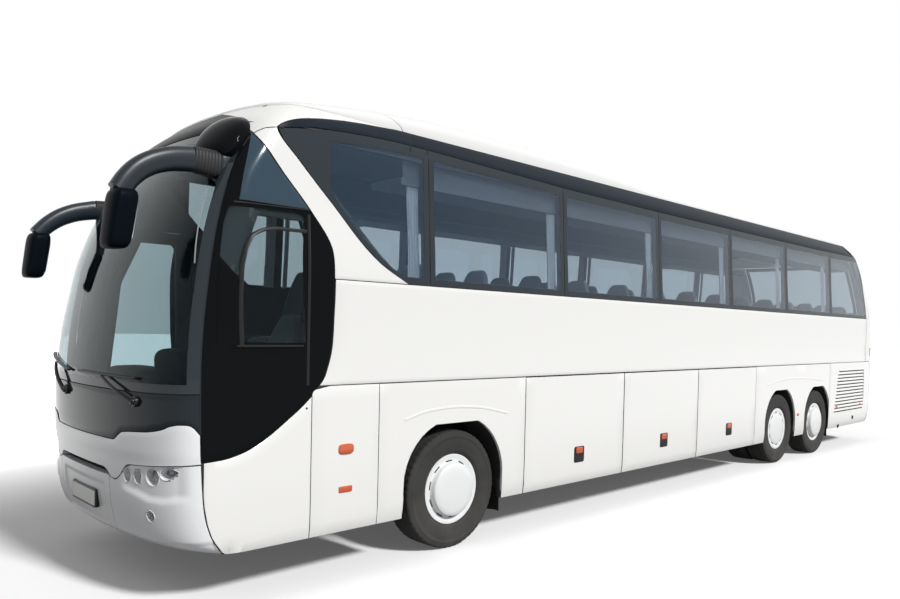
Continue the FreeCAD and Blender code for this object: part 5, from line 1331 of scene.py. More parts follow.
# Tyre: the profile turned about the axle; shoulder rows drop by the tread depth at each notch between blocks.
def tyreGrid(x, y):
    profile = tyreProfile()
    period = 6
    columns = wheel["blocks"] * period
    grid = lathe(profile, (x, y, hubZ), (0, 1, 0), columns)
    shoulder = (profile[:, 0] > tyreRadius - 0.02) & (np.abs(profile[:, 1]) > 0.08)
    notch = np.isin(np.arange(columns) % period, (0, 1))
    spoke = grid - np.array([x, 0, hubZ]) * [1, 0, 1] - np.array([0, 1, 0]) * grid[..., 1:2]
    spoke /= np.maximum(np.linalg.norm(spoke, axis=-1, keepdims=True), 1e-9)
    return grid - spoke * (0.004 * shoulder[:, None] * notch)[..., None]


# Closed ring from a grid that meets itself both ways; faces are turned to give a positive volume.
def closedTurn(builder, grid):
    rows, columns = grid.shape[:2]
    faces = gridFaces(rows, columns, closeRows=True, closeColumns=True)
    a, b, c = (grid.reshape(-1, 3)[faces[:, k]] for k in (0, 1, 2))
    volume = np.sum(np.cross(a, b) * c)
    return builder.add(grid, faces if volume > 0 else faces[:, ::-1])


rimProfile = [(0.12, -0.06), (0.12, -0.02), (0.25, 0.0), (0.262, -0.03), (0.262, -0.1), (0.3, -0.112),
    (0.302, -0.104), (0.288, -0.096), (0.285, -0.08), (0.285, 0.08), (0.288, 0.096), (0.302, 0.104),
    (0.3, 0.112), (0.262, 0.1), (0.262, 0.05), (0.25, 0.018), (0.12, 0.01), (0.11, 0.06)]
trimRing = [(0.3, 0.104), (0.307, 0.112), (0.31, 0.119), (0.3085, 0.124)]
domedTrim = [*trimRing, (0.3, 0.125), (0.28, 0.12), (0.26, 0.113), (0.25, 0.111), (0.244, 0.113),
    (0.24, 0.127), (0.2375, 0.148), (0.233, 0.162), (0.224, 0.169), (0.18, 0.174), (0.1, 0.1765),
    (0.04, 0.177)]
flatTrim = [*trimRing, (0.3, 0.1255), (0.278, 0.124), (0.26, 0.1225), (0.253, 0.12), (0.247, 0.119),
    (0.242, 0.1205), (0.236, 0.126), (0.224, 0.13), (0.18, 0.1325), (0.1, 0.134), (0.04, 0.1345)]


# Slots along the trim's groove: flat dark curved bars, painted shade standing for the openings, between two
# radii, one after another round the wheel.
def addSlots(builder, x, y, sign, along, radius):
    length, width = wheel["slotSize"]
    turn = np.linspace(-0.5, 0.5, 8) * length / radius
    for k in range(wheel["slots"]):
        angle = 2 * math.pi * (k + 0.35) / wheel["slots"] + turn
        r = radius + np.array([-0.5, -0.3, 0.3, 0.5])[:, None] * width
        lift = np.array([0.0, 0.0012, 0.0012, 0.0])[:, None] + np.zeros(8)
        grid = np.stack([x + r * np.cos(angle), y + sign * (along + lift), hubZ + r * np.sin(angle)], -1)
        builder.shell(grid, 0.003, 0.0, 0, away=np.broadcast_to([0, float(sign), 0], grid.shape))


def addWheel(axle, side, x, centres, trim):
    sign = 1 if side == "left" else -1
    many = "s" if len(centres) > 1 else ""
    bodyName = f"{axle}_wheel_{side}"
    tyres, rims, cover = Builder(), Builder(), Builder()
    for y in centres:
        closedTurn(tyres, tyreGrid(x, sign * y))
        addTube(rims, lathe(rimProfile, (x, sign * y, hubZ), (0, sign, 0), 64))
    place(tyres.object(f"tyreSkin_{axle}_{side}", tyreRubber, sharp=50), bodyName, "tyre",
        f"{axle}_tyre{many}_{side}")
    place(rims.object(f"rimSkin_{axle}_{side}", chassisSteel), bodyName, "wheel_paint",
        f"{axle}_rim{many}_{side}")
    grid = lathe(trim, (x, sign * centres[0], hubZ), (0, sign, 0), 96)
    grid = np.concatenate([grid, np.broadcast_to(grid[-1].mean(0), grid[-1:].shape)])[::-1]
    away = np.zeros(grid.shape) + [0, sign, 0] + (grid - [x, sign * centres[0], hubZ]) * [1, 0, 1]
    cover.shell(grid, 0.003, 0.0, 0, loop=True, pole=True, away=away)
    place(cover.object(f"wheelTrim_{axle}_{side}", trimWhite, sharp=60), bodyName, "wheel_paint")
    slots = Builder()
    radius, groove = min((row for row in trim if 0.24 < row[0] < 0.27), key=lambda row: row[1])
    addSlots(slots, x, sign * centres[0], sign, groove + 0.001, radius)
    place(slots.object(f"trimSlots_{axle}_{side}", blackAndSlotShade), bodyName, "black_plastic")


twin = (driveHigh.y - driveLow.y) - 2 * tyreHalf
for side in sides:
    addWheel("front", side, axleX, [trackHalf], domedTrim)
    addWheel("drive", side, driveX, [trackHalf, trackHalf - twin], flatTrim)
    addWheel("tag", side, tagX, [trackHalf], domedTrim)
print("wheels")

# Mirrors: an arched arm out of a ribbed gaiter and a root under the cap, with a hanging head.
mirror = {
    # x from the front axle, z, half height of the arm's section
    "left": {"arm": [(2.13, 3.032, 0.096), (2.315, 3.045, 0.086), (2.44, 3.027, 0.082), (2.56, 2.988, 0.078),
            (2.66, 2.928, 0.075), (2.735, 2.85, 0.072), (2.79, 2.765, 0.07)],
        "head": (2.8, 1.06, 2.585)},
    "right": {"arm": [(2.1, 2.918, 0.09), (2.26, 2.915, 0.082), (2.41, 2.876, 0.077), (2.53, 2.822, 0.073),
            (2.62, 2.757, 0.069), (2.68, 2.697, 0.066), (2.715, 2.655, 0.065)],
        "head": (2.725, 1.06, 2.478)},
    "capSeam": [(1.206, 3.18), (1.206, 3.249), (1.223, 3.29), (1.271, 3.327), (1.339, 3.341), (1.392, 3.348)],
    "armY": 1.045, "armHalf": 0.06, "headHalf": (0.08, 0.12, 0.19), "ribs": 8,
}


# Flattened tube along a path in the x-z plane at one y: superellipse section, half height given row by row.
def armGrid(rows, y, halfWide, count=40, power=0.8):
    rows = np.array(rows)
    length = np.concatenate([[0], np.cumsum(np.hypot(*np.diff(rows[:, :2], axis=0).T))])
    at = np.linspace(0, length[-1], count)
    x, z, high = (smoothCurve(length, rows[:, k], at) for k in range(3))
    slope = np.stack([np.gradient(x), np.gradient(z)], -1)
    slope /= np.linalg.norm(slope, axis=1, keepdims=True)
    turn = np.linspace(0, 2 * math.pi, 28, endpoint=False)
    bend = lambda v: np.sign(v) * np.abs(v) ** power
    up = high[:, None] * bend(np.sin(turn))
    return np.stack([axleX + x[:, None] - slope[:, 1:] * up, y + halfWide * bend(np.cos(turn)) + 0 * up,
            z[:, None] + slope[:, :1] * up], -1)


for side, (sign, surface) in sides.items():
    rows = mirror[side]["arm"]
    y = sign * mirror["armY"]
    arms, glassPart = Builder(), Builder()
    addTube(arms, armGrid(rows[1:], y, mirror["armHalf"]), 0)
    # gaiter: the section swells and shrinks along its ribs
    back = np.array(rows[0])
    gaiterAt = np.linspace(0, 1, mirror["ribs"] * 6 + 1)
    swell = 1.0 + 0.035 * np.abs(np.sin(gaiterAt * mirror["ribs"] * math.pi))
    gaiter = armGrid([rows[0], rows[1]], y, mirror["armHalf"], len(gaiterAt))
    middle = gaiter.mean(1, keepdims=True)
    gaiter = middle + (gaiter - middle) * swell[:, None, None]
    addTube(arms, gaiter, 1)
    # root block behind the gaiter, sunk into the corner of the body
    rootHalf = (0.085, 0.075, back[2] + 0.016)
    root = (axleX + back[0] - 0.07, y - sign * 0.012, back[1] - 0.014)
    addBlob(arms, blob(root, rootHalf, 0.45, 32, 18))
    headX, headY, headZ = mirror[side]["head"]
    half = mirror["headHalf"]

    def headShape(unit, sign=sign):
        x, w, z = unit[..., 0], unit[..., 1], unit[..., 2]
        narrow = 1 - 0.1 * (1 - z) / 2
        return np.stack([x * np.where(x > 0, narrow * (1 - 0.22 * w * w), 1) - 0.34 * z, w * narrow, z], -1)
    addBlob(arms, blob((axleX + headX, sign * headY, headZ), half, 0.36, 44, 26, headShape), 2)
    # mirror glass in the rear face, leaning with the head
    lean = np.array([0.34 * 0.74 * half[0] / 0.0075, 0, 0])
    addBlob(glassPart, blob((axleX + headX - half[0] + 0.005, sign * headY, headZ - 0.004),
            (0.0075, half[1] * 0.68, half[2] * 0.74), 0.3, 40, 20, lambda unit: unit - unit[..., 2:]
            * lean))
    place(arms.object(f"mirrorArm_{side}", [armPlastic, gaiterRubber, headPlastic]), "coach_body",
        "black_plastic", *(("mirrors",) if side == "left" else ()))
    place(glassPart.object(f"mirrorGlass_{side}", chrome), "coach_body", "side_glass")

# Caps over the mirror roots: a glossy bulge standing out from the corner above the arm.
caps = Builder()
for side, (sign, surface) in sides.items():
    wrap = noseSide(sign)
    drop = 0.0 if side == "left" else -0.06
    outline = roundedLoop([(1.19, 3.09), (1.2, 3.2), (1.19, 3.29), (1.12, 3.38), (0.98, 3.45),
            (0.82, 3.47), (0.7, 3.42), (0.66, 3.32), (0.7, 3.2), (0.84, 3.11), (1.0, 3.075)], 0.06, 5)
    centre = np.array([0.96, 3.26])
    angles = np.linspace(-math.pi, math.pi, 72, endpoint=False)
    size = 1.0 if side == "left" else 0.62
    reach = rayTo(outline, centre, angles) * size
    t = np.linspace(0, 1, 12)[:, None]
    lift = proud + 0.085 * size * np.clip(1 - t ** 2.6, 0, 1) ** 0.5
    s = centre[0] + 0.12 * (size < 1) + reach * t * np.cos(angles)
    z = centre[1] + drop + reach * t * np.sin(angles)
    caps.shell(wrap(s, z, lift + 0 * angles), 0.004, 0.0, 0, loop=True, pole=True)
place(caps.object("mirrorCaps", blackGloss), "coach_body", "black_gloss")
seams = Builder()
for side, (sign, surface) in sides.items():
    addRibbon(seams, noseSide(sign), mirror["capSeam"], 0.007, 0.0015, out=proud + 0.001, step=0.01)
place(seams.object("capSeams", blackAndSlotShade), "coach_body", "black_plastic")

# Side lamps, latches, plugs: x from the front axle, z, half width, half height, thickness, roundness, finish.
sideFittings = [(1.18, 1.0, 0.07, 0.04, 0.016, 0.55, orangeLens),
    (1.18, 0.69, 0.062, 0.024, 0.01, 0.2, orangeLens), (-7.49, 0.7, 0.036, 0.02, 0.01, 0.35, orangeLens),
    (-9.16, 0.72, 0.036, 0.02, 0.016, 0.35, orangeLens), (-10.35, 0.71, 0.036, 0.02, 0.016, 0.35,
        orangeLens), (-9.29, 0.38, 0.034, 0.034, 0.012, 1.0, blackAndSlotShade),
    (-9.98, 0.49, 0.034, 0.034, 0.012, 1.0, blackAndSlotShade), (1.535, 1.332, 0.008, 0.008, 0.004, 1.0,
        blackAndSlotShade),]


# Fitting on the side: a low superellipse dome of half width, half height and thickness over the surface.
def addFitting(builder, surface, x, z, halfX, halfZ, thick, power, index=0, base=0.0):
    a = np.linspace(-math.pi, math.pi, 36, endpoint=False)
    bend = lambda v: np.sign(v) * np.abs(v) ** power
    rows = np.array([(0.0, 1.0), (0.5, 0.98), (0.8, 0.9), (0.93, 0.72), (1.0, 0.35), (1.0, -0.2)])
    grid = surface(x + rows[:, :1] * halfX * bend(np.cos(a)), z + rows[:, :1] * halfZ * bend(np.sin(a)),
        proud + base + rows[:, 1:] * thick + 0 * a)
    return builder.shell(grid, 0.004, 0.0, index, loop=True, pole=True)


for side, (sign, surface) in sides.items():
    fittings = Builder()
    for x, z, halfX, halfZ, thick, power, finishOf in sideFittings:
        if side == "right" and x > 1.0:
            if finishOf is blackAndSlotShade:
                continue
            x = 0.62
        index = 0 if finishOf is orangeLens else 1
        addFitting(fittings, surface, axleX + x, z, halfX, halfZ, thick, power, index)
    place(fittings.object(f"sideLamps_{side}", [orangeLens, blackAndSlotShade]), "coach_body", "lamp_lens")
    for doorName in doorNames[side]:
        low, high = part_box(doorName)
        latch = Builder()
        x = (low.x + high.x) / 2 - 0.03
        addFitting(latch, surface, x, 0.655, 0.086, 0.084, 0.007, 0.22, 0)
        addFitting(latch, surface, x, 0.7, 0.056, 0.032, 0.005, 0.18, 1, 0.006)
        addFitting(latch, surface, x, 0.612, 0.06, 0.036, 0.002, 0.18, 2, 0.006)
        place(latch.object(f"latch_{doorName}", [blackPlastic, orangeLens, blackAndSlotShade]), doorName,
            "black_plastic")

# Louvres of the engine bay's side: flat dark ribbons, painted shade standing for the gaps, under white
# blades, in a slanted field.
louvre = {"count": 13, "top": (-9.22, -10.49, 1.338), "low": (-9.06, -10.52, 0.64)}
for side, (sign, surface) in sides.items():
    bars = Builder()
    for i in range(louvre["count"]):
        t = i / (louvre["count"] - 1)
        ahead = louvre["top"][0] + (louvre["low"][0] - louvre["top"][0]) * t
        behind = louvre["top"][1] + (louvre["low"][1] - louvre["top"][1]) * t
        z = louvre["top"][2] + (louvre["low"][2] - louvre["top"][2]) * t
        line = [(axleX + behind + 0.05 * (t > 0.96), z), (axleX + ahead - 0.03 * (t < 0.05), z)]
        addRibbon(bars, surface, line, 0.018, 0.0022, 0, out=proud + 0.0005, step=0.1)
        addRibbon(bars, surface, np.array(line) + [0, 0.016], 0.012, 0.007, 1, out=proud, step=0.1)
    addRibbon(bars, surface, [(axleX + louvre["top"][1] - 0.012, louvre["top"][2] + 0.01),
            (axleX + louvre["low"][1] - 0.002, 0.8)], 0.01, 0.002, 0, out=proud + 0.0005)
    place(bars.object(f"louvres_{side}", [blackAndSlotShade, whitePaint]), "coach_body", "body_paint")

# Wheel arches: white lip turned in from the panel's edge and a dark lining strip behind it.
lipDepth = 0.026
for side, (sign, surface) in sides.items():
    lips, lining = Builder(), Builder()
    for at, reach in arches:
        line = archLine(at, reach, sideMap["archLift"])
        keep = line[:, 1] > skirtZ
        feet = np.array([(line[0, 0], skirtZ + 0.001)]), np.array([(line[-1, 0], skirtZ + 0.001)])
        path = np.concatenate([feet[0], line[keep], feet[1]])
        length = np.concatenate([[0], np.cumsum(np.hypot(*np.diff(path, axis=0).T))])
        spaced = np.linspace(0, length[-1], 90)
        path = np.stack([np.interp(spaced, length, path[:, k]) for k in (0, 1)], -1)
        centre = np.array([at, tyreRadius])
        inward = (centre - path) / np.linalg.norm(centre - path, axis=1, keepdims=True)
        deep = np.linspace(0, lipDepth, 4)
        edge = surface(path[:, 0], path[:, 1], proud - 0.001)
        grid = edge[:, None] - np.array([0, sign, 0]) * deep[None, :, None]
        toWheel = np.stack([inward[:, 0], 0 * inward[:, 0], inward[:, 1]], -1)[:, None] + 0 * grid
        lips.shell(grid, 0.003, 0.002, 0, away=toWheel)
        deep = np.linspace(lipDepth + 0.001, lipDepth + 0.3, 5)
        grid = edge[:, None] - np.array([0, sign, 0]) * deep[None, :, None] - toWheel[:, :1] * 0.004
        lining.shell(grid, 0.003, 0.002, 0, away=np.broadcast_to(toWheel[:, :1], grid.shape))
    place(lips.object(f"archLips_{side}", whitePaint), "coach_body", "body_paint")
    place(lining.object(f"archLining_{side}", blackAndSlotShade), "coach_body", "black_plastic")

# Creases over the arches: low ridges along the panel.
creases = {"front": [(0.6, 1.18), (0.33, 1.24), (0.04, 1.255), (-0.27, 1.235), (-0.65, 1.16)],
    "rear": [(-6.34, 1.2), (-6.75, 1.26), (-7.12, 1.28), (-7.8, 1.265), (-8.53, 1.21)]}
for side, (sign, surface) in sides.items():
    ridge = Builder()
    for rows in creases.values():
        rows = np.array(rows)[::-1]
        at = np.linspace(rows[0, 0], rows[-1, 0], 40)
        line = np.stack([axleX + at, smoothCurve(rows[:, 0], rows[:, 1], at)], -1)
        addRibbon(ridge, surface, line, 0.022, 0.0035)
    place(ridge.object(f"archCrease_{side}", whitePaint), "coach_body", "body_paint")

# Mud flaps behind the front and tag wheels.
flaps = Builder()
for sign in (1, -1):
    for at, reach in ((axleX, archReach["front"]), (tagX, archReach["rear"])):
        u, v = np.linspace(0, 1, 9), np.linspace(0, 1, 9)
        x = at - reach - 0.004 + 0.012 * np.sin(v * 2.2)[:, None] + 0 * u
        y = sign * (0.905 + 0.325 * u)[None, :] + 0 * v[:, None]
        z = (0.6 - 0.37 * v)[:, None] + 0.006 * np.sin(u * 9)[None, :]
        flaps.shell(np.stack([x, y, z], -1), 0.008, 0.003, 0, away=np.broadcast_to([1.0, 0, 0], (9, 9, 3)))
place(flaps.object("mudFlaps", gaiterRubber), "coach_body", "black_plastic")
print("fittings")

# Rear: bumper, corner skins, engine lid with its grille, window in a black border and tail lamps.
rear = {
    "bumperTop": 0.955, "lidLow": 0.99, "lidHigh": 1.728, "lidHalf": 0.79,
    "glassLow": 2.36, "glassHigh": 3.3, "border": 0.06,
    # y, z, half width, half height, lens
    "lamps": [(1.085, 1.625, 0.052, 0.085, 1), (1.085, 1.44, 0.052, 0.078, 0),
        (1.085, 1.262, 0.052, 0.078, 0), (1.085, 1.09, 0.052, 0.074, 2)],
}


def tailS(y, z=1.4):
    return float(tail.fromY(np.array(float(y)), np.array(z)))


# Patch on the tail between two s limits and two heights.
def tailPatch(sLow, sHigh, low, high, step=0.05, rise=0.06, out=proud):
    z = low + (high - low) * ticks(high - low, rise)
    a, b = (np.broadcast_to(f(z) if callable(f) else f, z.shape) for f in (sLow, sHigh))
    t = ticks(np.mean(np.abs(b - a)), step)
    return tail(a[:, None] * (1 - t) + b[:, None] * t, z[:, None], out)


def rearEdgeS(z):
    return tail.corner + (rearX(np.maximum(z, 2.2)) - tail.inner(z)) - seam / 2


lidS = tailS(rear["lidHalf"])
cornerS = lambda z: np.full(np.shape(z), tail.corner - 0.001)
minusCornerS = lambda z: -cornerS(z)
addSkin("rearBumperSkin", tailPatch(minusCornerS, cornerS, skirtZ, rear["bumperTop"]), whitePaint,
    "coach_body", "body_paint", "rear_bumper")
corners = Builder()
foot = rear["bumperTop"] + seam
for sign in (1, -1):
    # below the rub line beside the lid, then above it round to the side wall
    for low, high, end in ((foot, rubTop, cornerS), (rubZ + 0.002, beltZ - 0.006, rearEdgeS)):
        grid = tailPatch(even(lidS + seam + 0.004), end, low, high, 0.04, 0.06)
        corners.shell(grid * [1, sign, 1], body["skin"])
corners.shell(tailPatch(-lidS - 0.003, lidS + 0.003, rear["lidHigh"] + 0.05, beltZ - 0.006), body["skin"])
corners.shell(tailPatch(-lidS - 0.003, lidS + 0.003, foot, rear["lidLow"] - seam), body["skin"])
place(corners.object("rearSkin", whitePaint), "coach_body", "body_paint", "rear_wall")
addSkin("lidSkin", tailPatch(-lidS, lidS, rear["lidLow"], rear["lidHigh"], 0.03, 0.03), whitePaint,
    "engine_lid", "body_paint", "engine_lid", edge=0.005)
# grille on the lid: flat dark ribbons, painted shade standing for the gaps, under white blades, and a black
# bar near the top
slats = Builder()
for i in range(15):
    z = rear["lidLow"] + 0.1 + i * 0.03
    line = [(-0.62, z), (0.62, z)]
    addRibbon(slats, tail, line, 0.016, 0.002, 0, out=proud + 0.0005, step=0.08)
    addRibbon(slats, tail, np.array(line) + [0, 0.014], 0.01, 0.007, 1, out=proud, step=0.08)
addRibbon(slats, tail, [(-0.16, rear["lidHigh"] - 0.075), (0.16, rear["lidHigh"] - 0.075)], 0.045, 0.012, 2)
place(slats.object("lidGrille", [blackAndSlotShade, whitePaint, blackPlastic]), "engine_lid", "black_plastic")

# upper half: white frame, black-bordered window
frameRows = Builder()
for low, high in ((beltZ + 0.002, rear["glassLow"] - seam), (rear["glassHigh"] + seam, roofEdgeZ - 0.001)):
    frameRows.shell(tailPatch(minusCornerS, cornerS, low, high, 0.04), body["skin"])
paneS = tailS(0.985, 2.8)
for sign in (1, -1):
    grid = tailPatch(even(paneS + seam), cornerS, rear["glassLow"] - 0.003, rear["glassHigh"] + 0.003, 0.04)
    frameRows.shell(grid * [1, sign, 1], body["skin"])
place(frameRows.object("rearFrame", whitePaint), "coach_body", "body_paint")
border = rear["border"]
paneLow, paneHigh = rear["glassLow"], rear["glassHigh"]
z = np.concatenate([[paneLow], np.linspace(paneLow + border, paneHigh - border, 14), [paneHigh]])
s = np.concatenate([[-paneS], np.linspace(-paneS + border, paneS - border, 24), [paneS]])
cells = np.zeros((len(z) - 1, len(s) - 1), int)
cells[1:-1, 1:-1] = 1
pane = Builder().shell(tail(s, z[:, None], proud), 0.006, 0.003, cells, rimIndex=0)
place(pane.object("rearGlass", [fritBlack, sideGlass]), "coach_body", "side_glass", "rear_window")

# tail lamps in a black column on each side, a grey lamp at the corner and a blank plate
tailLamps = Builder()
for sign in (1, -1):
    wrap = lambda s, z, out=0.0: tail(sign * s, z, out)
    s0 = tailS(1.085)
    addFitting(tailLamps, wrap, s0, 1.36, 0.066, 0.375, 0.006, 0.16, 0)
    for y, z, halfS, halfZ, lens in rear["lamps"]:
        addFitting(tailLamps, wrap, s0, z, halfS, halfZ * 0.94, 0.014, 0.3, 1 + lens, 0.004)
    addFitting(tailLamps, wrap, tail.corner + 0.02, 1.675, 0.03, 0.075, 0.01, 0.25, 3)
    addFitting(tailLamps, wrap, tailS(0.8, 0.6), 0.56, 0.055, 0.028, 0.01, 0.3, 1)
place(tailLamps.object("tailLamps", [blackPlastic, redLens, orangeLens, lampGrey]), "coach_body", "lamp_lens")
plate = Builder()
rearPlateX = float(tail(0, 0.72)[0])
addBlob(plate, blob((rearPlateX, 0, 0.72), (0.01, 0.273, 0.072), 0.09, 48, 26), 0)
addBlob(plate, blob((rearPlateX, 0, 0.72), (0.0115, 0.257, 0.0565), 0.07, 48, 26), 1)
place(plate.object("rearPlate", [blackPlastic, plateBlank]), "coach_body", "black_plastic")
print("rear")

# Inside: seats in pairs, curtains gathered at the posts, racks, ceiling and the driver's place.
seat = {"pitch": 0.8, "gangway": 0.24, "rows": 14, "backLean": 0.15, "backThick": 0.052, "headWidth": 0.62,
    "shoulder": 0.66, "bolster": 0.03, "crown": 0.016,}


# Woven cloth: two crossed waves over object coordinates darken the colour and give the bump its height.
def fillWeave(tree, given):
    place3 = node(tree, "ShaderNodeTexCoord").outputs["Object"]
    bands = []
    for direction in ("Y", "Z"):
        wave = node(tree, "ShaderNodeTexWave", {"Vector": place3, "Scale": given.outputs["Scale"],
                "Distortion": 0.6}, bands_direction=direction)
        bands.append(wave.outputs["Fac"])
    both = mathNode(tree, "MULTIPLY", *bands)
    patch = node(tree, "ShaderNodeTexNoise", {"Vector": place3, "Scale": 9.0, "Detail": 4.0})
    shade = mathNode(tree, "MULTIPLY_ADD", both, 0.35, patch.outputs["Fac"])
    mixed = node(tree, "ShaderNodeMix", {"Factor": shade, "A": given.outputs["Dark"],
            "B": given.outputs["Light"]}, data_type="RGBA", clamp_factor=True)
    return {"Colour": mixed.outputs["Result"], "Height": both}


weave = makeGroup("weave", [("Scale", "value", 120.0), ("Dark", "colour", None),
        ("Light", "colour", None)], [("Colour", "colour"), ("Height", "value")], fillWeave)


def clothFinish(name, dark, light, scale):
    made, tree, shader = newMaterial(name)
    cloth = node(tree, "ShaderNodeGroup", node_tree=weave)
    cloth.inputs["Scale"].default_value = scale
    cloth.inputs["Dark"].default_value, cloth.inputs["Light"].default_value = (*dark, 1), (*light, 1)
    bump = node(tree, "ShaderNodeBump", {"Height": cloth.outputs["Height"], "Distance": 0.001,
            "Strength": 0.4})
    tree.links.new(cloth.outputs["Colour"], shader.inputs["Base Color"])
    tree.links.new(bump.outputs[0], shader.inputs["Normal"])
    setShader(shader, {"Roughness": 0.9, "Sheen Weight": 0.2})
    return made


seatCloth = clothFinish("seatCloth", (0.03, 0.034, 0.042), (0.06, 0.066, 0.08), 150.0)
curtainCloth = clothFinish("curtainCloth", (0.34, 0.36, 0.4), (0.48, 0.5, 0.53), 220.0)
pelmetCloth = clothFinish("pelmetCloth", (0.045, 0.05, 0.06), (0.07, 0.076, 0.09), 200.0)
rackGrey = finish("rackGrey", (0.075, 0.08, 0.092), 0.6, 60.0, 0.1, 0.2)
ceilingCloth = finish("ceilingCloth", (0.085, 0.09, 0.1), 0.85, 200.0, 0.08, 0.4)


# Seat back: thick at the foot, shoulders rounded in to the head, sides brought forward, seam under the head.
def backShape(unit):
    h = (unit[..., 2] + 1) / 2
    width = smoothCurve([0, 0.08, seat["shoulder"], 0.76, 0.86, 1.0],
        [0.9, 0.98, 1.0, 0.84, seat["headWidth"] + 0.1, seat["headWidth"]], h)
    groove = 1 - 0.1 * np.exp(-((h - 0.74) / 0.02) ** 2) - 0.1 * np.exp(-((h - 0.36) / 0.02) ** 2)
    thick = (1.0 - 0.3 * h) * groove
    front = np.clip(unit[..., 0], 0, 1)
    out = unit.copy()
    bolster = front * seat["bolster"] / seat["backThick"] * unit[..., 1] ** 4 * (1 - h)
    out[..., 0] = unit[..., 0] * thick + bolster - (h - 0.5) * seat["backLean"] / seat["backThick"]
    out[..., 1] = unit[..., 1] * width
    return out


# Cushion: crowned on top, flat below, sides pulled in between the corners, front edge rounded down.
def cushionShape(unit):
    out = unit.copy()
    high = np.clip(unit[..., 2], 0, 1)
    crown = seat["crown"] / 0.065 * (1 - unit[..., 0] ** 2) * (1 - unit[..., 1] ** 2)
    channel = 0.1 * np.exp(-((unit[..., 0] + 0.3) / 0.08) ** 2)
    out[..., 2] = np.maximum(unit[..., 2] + high * (crown - channel), -0.92)
    out[..., 0] = unit[..., 0] * (1 - 0.03 * (1 - unit[..., 1] ** 2))
    out[..., 1] = unit[..., 1] * (1 - 0.03 * (1 - unit[..., 0] ** 2))
    return out


def addSeat(builder, x, y, half, floor, rise):
    addBlob(builder, blob((x + 0.19, y, floor + 0.384), (0.25, half, 0.065), 0.42, 20, 11, cushionShape))
    low = 0.4
    backHalf = (seat["backThick"], half, (rise - low) / 2)
    addBlob(builder, blob((x - 0.062, y, floor + (low + rise) / 2), backHalf, 0.4, 22, 21, backShape))


# Box with its edges cut off, as a blob of few faces.
def addBlock(builder, low, high, power=0.12, index=0):
    low, high = np.array(low, float), np.array(high, float)
    addBlob(builder, blob((low + high) / 2, (high - low) / 2, power, 16, 8), index)


seatLow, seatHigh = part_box("seats")
lastRowX = seatLow.x + 0.2
middleLow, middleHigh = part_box("middle_door")
seatEdge = min(seatHigh.y, halfWidth - 0.095)
seatFrames = Builder()
for side, sign in (("left", 1), ("right", -1)):
    for i in range(seat["rows"]):
        x = lastRowX + i * seat["pitch"]
        if side == "right" and x + 0.46 > middleLow.x - 0.03 and x - 0.22 < middleHigh.x + 0.03:
            continue
        pair = Builder()
        half = (seatEdge - seat["gangway"]) / 4
        for k in (0, 1):
            addSeat(pair, x, sign * (seat["gangway"] + half * (2 * k + 1)), half - 0.008, deckZ, 1.146)
        piece = pair.object(f"seatPair_{side}_{i}", seatCloth, sharp=60)
        nodes = ("seats",) if side == "left" and i == 0 else ()
        place(piece, "coach_body", "seat_cloth", *nodes)
        for y in (seat["gangway"] + 0.03, seatEdge - 0.06):
            addBlock(seatFrames, (x + 0.06, sign * y - 0.022, deckZ + 0.001),
                (x + 0.16, sign * y + 0.022, deckZ + 0.325))
        addBlock(seatFrames, (x - 0.03, sign * (seat["gangway"] + 0.02) - 0.02, deckZ + 0.6),
            (x + 0.33, sign * (seat["gangway"] + 0.02) + 0.018, deckZ + 0.645), 0.3)
driverX = seatHigh.x - 0.44
cabFloor = 0.95
driver = Builder()
addSeat(driver, driverX, 0.6, 0.245, cabFloor, 1.076)
piece = driver.object("driverSeat", seatCloth, sharp=60)
place(piece, "coach_body", "seat_cloth")
addBlock(seatFrames, (driverX + 0.04, 0.48, cabFloor + 0.001), (driverX + 0.34, 0.72, cabFloor + 0.325))
place(seatFrames.object("seatFrames", blackPlastic), "coach_body", "black_plastic")

# Curtains: each a sheet gathered in even folds ahead of a post, hung from the rack.
curtain = {"wide": 0.12, "narrow": 0.055, "folds": 4, "deep": 0.012, "in": 0.082, "thick": 0.0012}
rackLow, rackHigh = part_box("luggage_racks")
for side, (sign, surface) in sides.items():
    for i, (wide, backX) in enumerate([(wide, firstPost - k * postPitch + at) for k in range(6) for wide,
            at in ((curtain["wide"], 0.055), (curtain["narrow"], -0.11))]):
        folds = curtain["folds"] if wide > 0.1 else 2
        u = np.linspace(0, 1, folds * 8 + 1)
        z = np.linspace(beltZ + 0.045, rackLow.z - 0.003, 9)
        fold = curtain["deep"] * np.sin(u * folds * 2 * math.pi + 0.4 * i)
        loose = 0.75 + 0.25 * np.cos((z - z[0]) / (z[-1] - z[0]) * math.pi * 2)[:, None]
        x = backX + wide * (u * (0.9 + 0.1 * loose))
        y = sign * (halfWidth - levelAt(z, 1)[:, None] - curtain["in"] + fold * (0.8 + 0.2 * loose))
        grid = np.stack(np.broadcast_arrays(x, y, z[:, None]), -1)
        piece = Builder().shell(grid, curtain["thick"], 0.0)
        piece = piece.object(f"curtain_{side}_{i}", curtainCloth, sharp=80)
        place(piece, "coach_body", "floor_covering")
    # dark pelmet over the windows
    x = np.linspace(rackLow.x + 0.02, rackHigh.x - 0.02, 241)
    t = np.linspace(0, 1, 5)[:, None]
    high, low = glassTopZ - 0.04, rackLow.z + 0.04 + 0.0 * x
    z = low + (high - low) * t
    y = sign * (halfWidth - levelAt(z, 1) - 0.0655)
    grid = np.stack(np.broadcast_arrays(x, y, z), -1)
    piece = Builder().shell(grid, 0.0012, 0.0).object(f"pelmet_{side}", pelmetCloth, sharp=80)
    place(piece, "coach_body", "floor_covering")
for name, material in (("luggage_racks", rackGrey), ("roof_panel", ceilingCloth)):
    giveFinish(name, material)

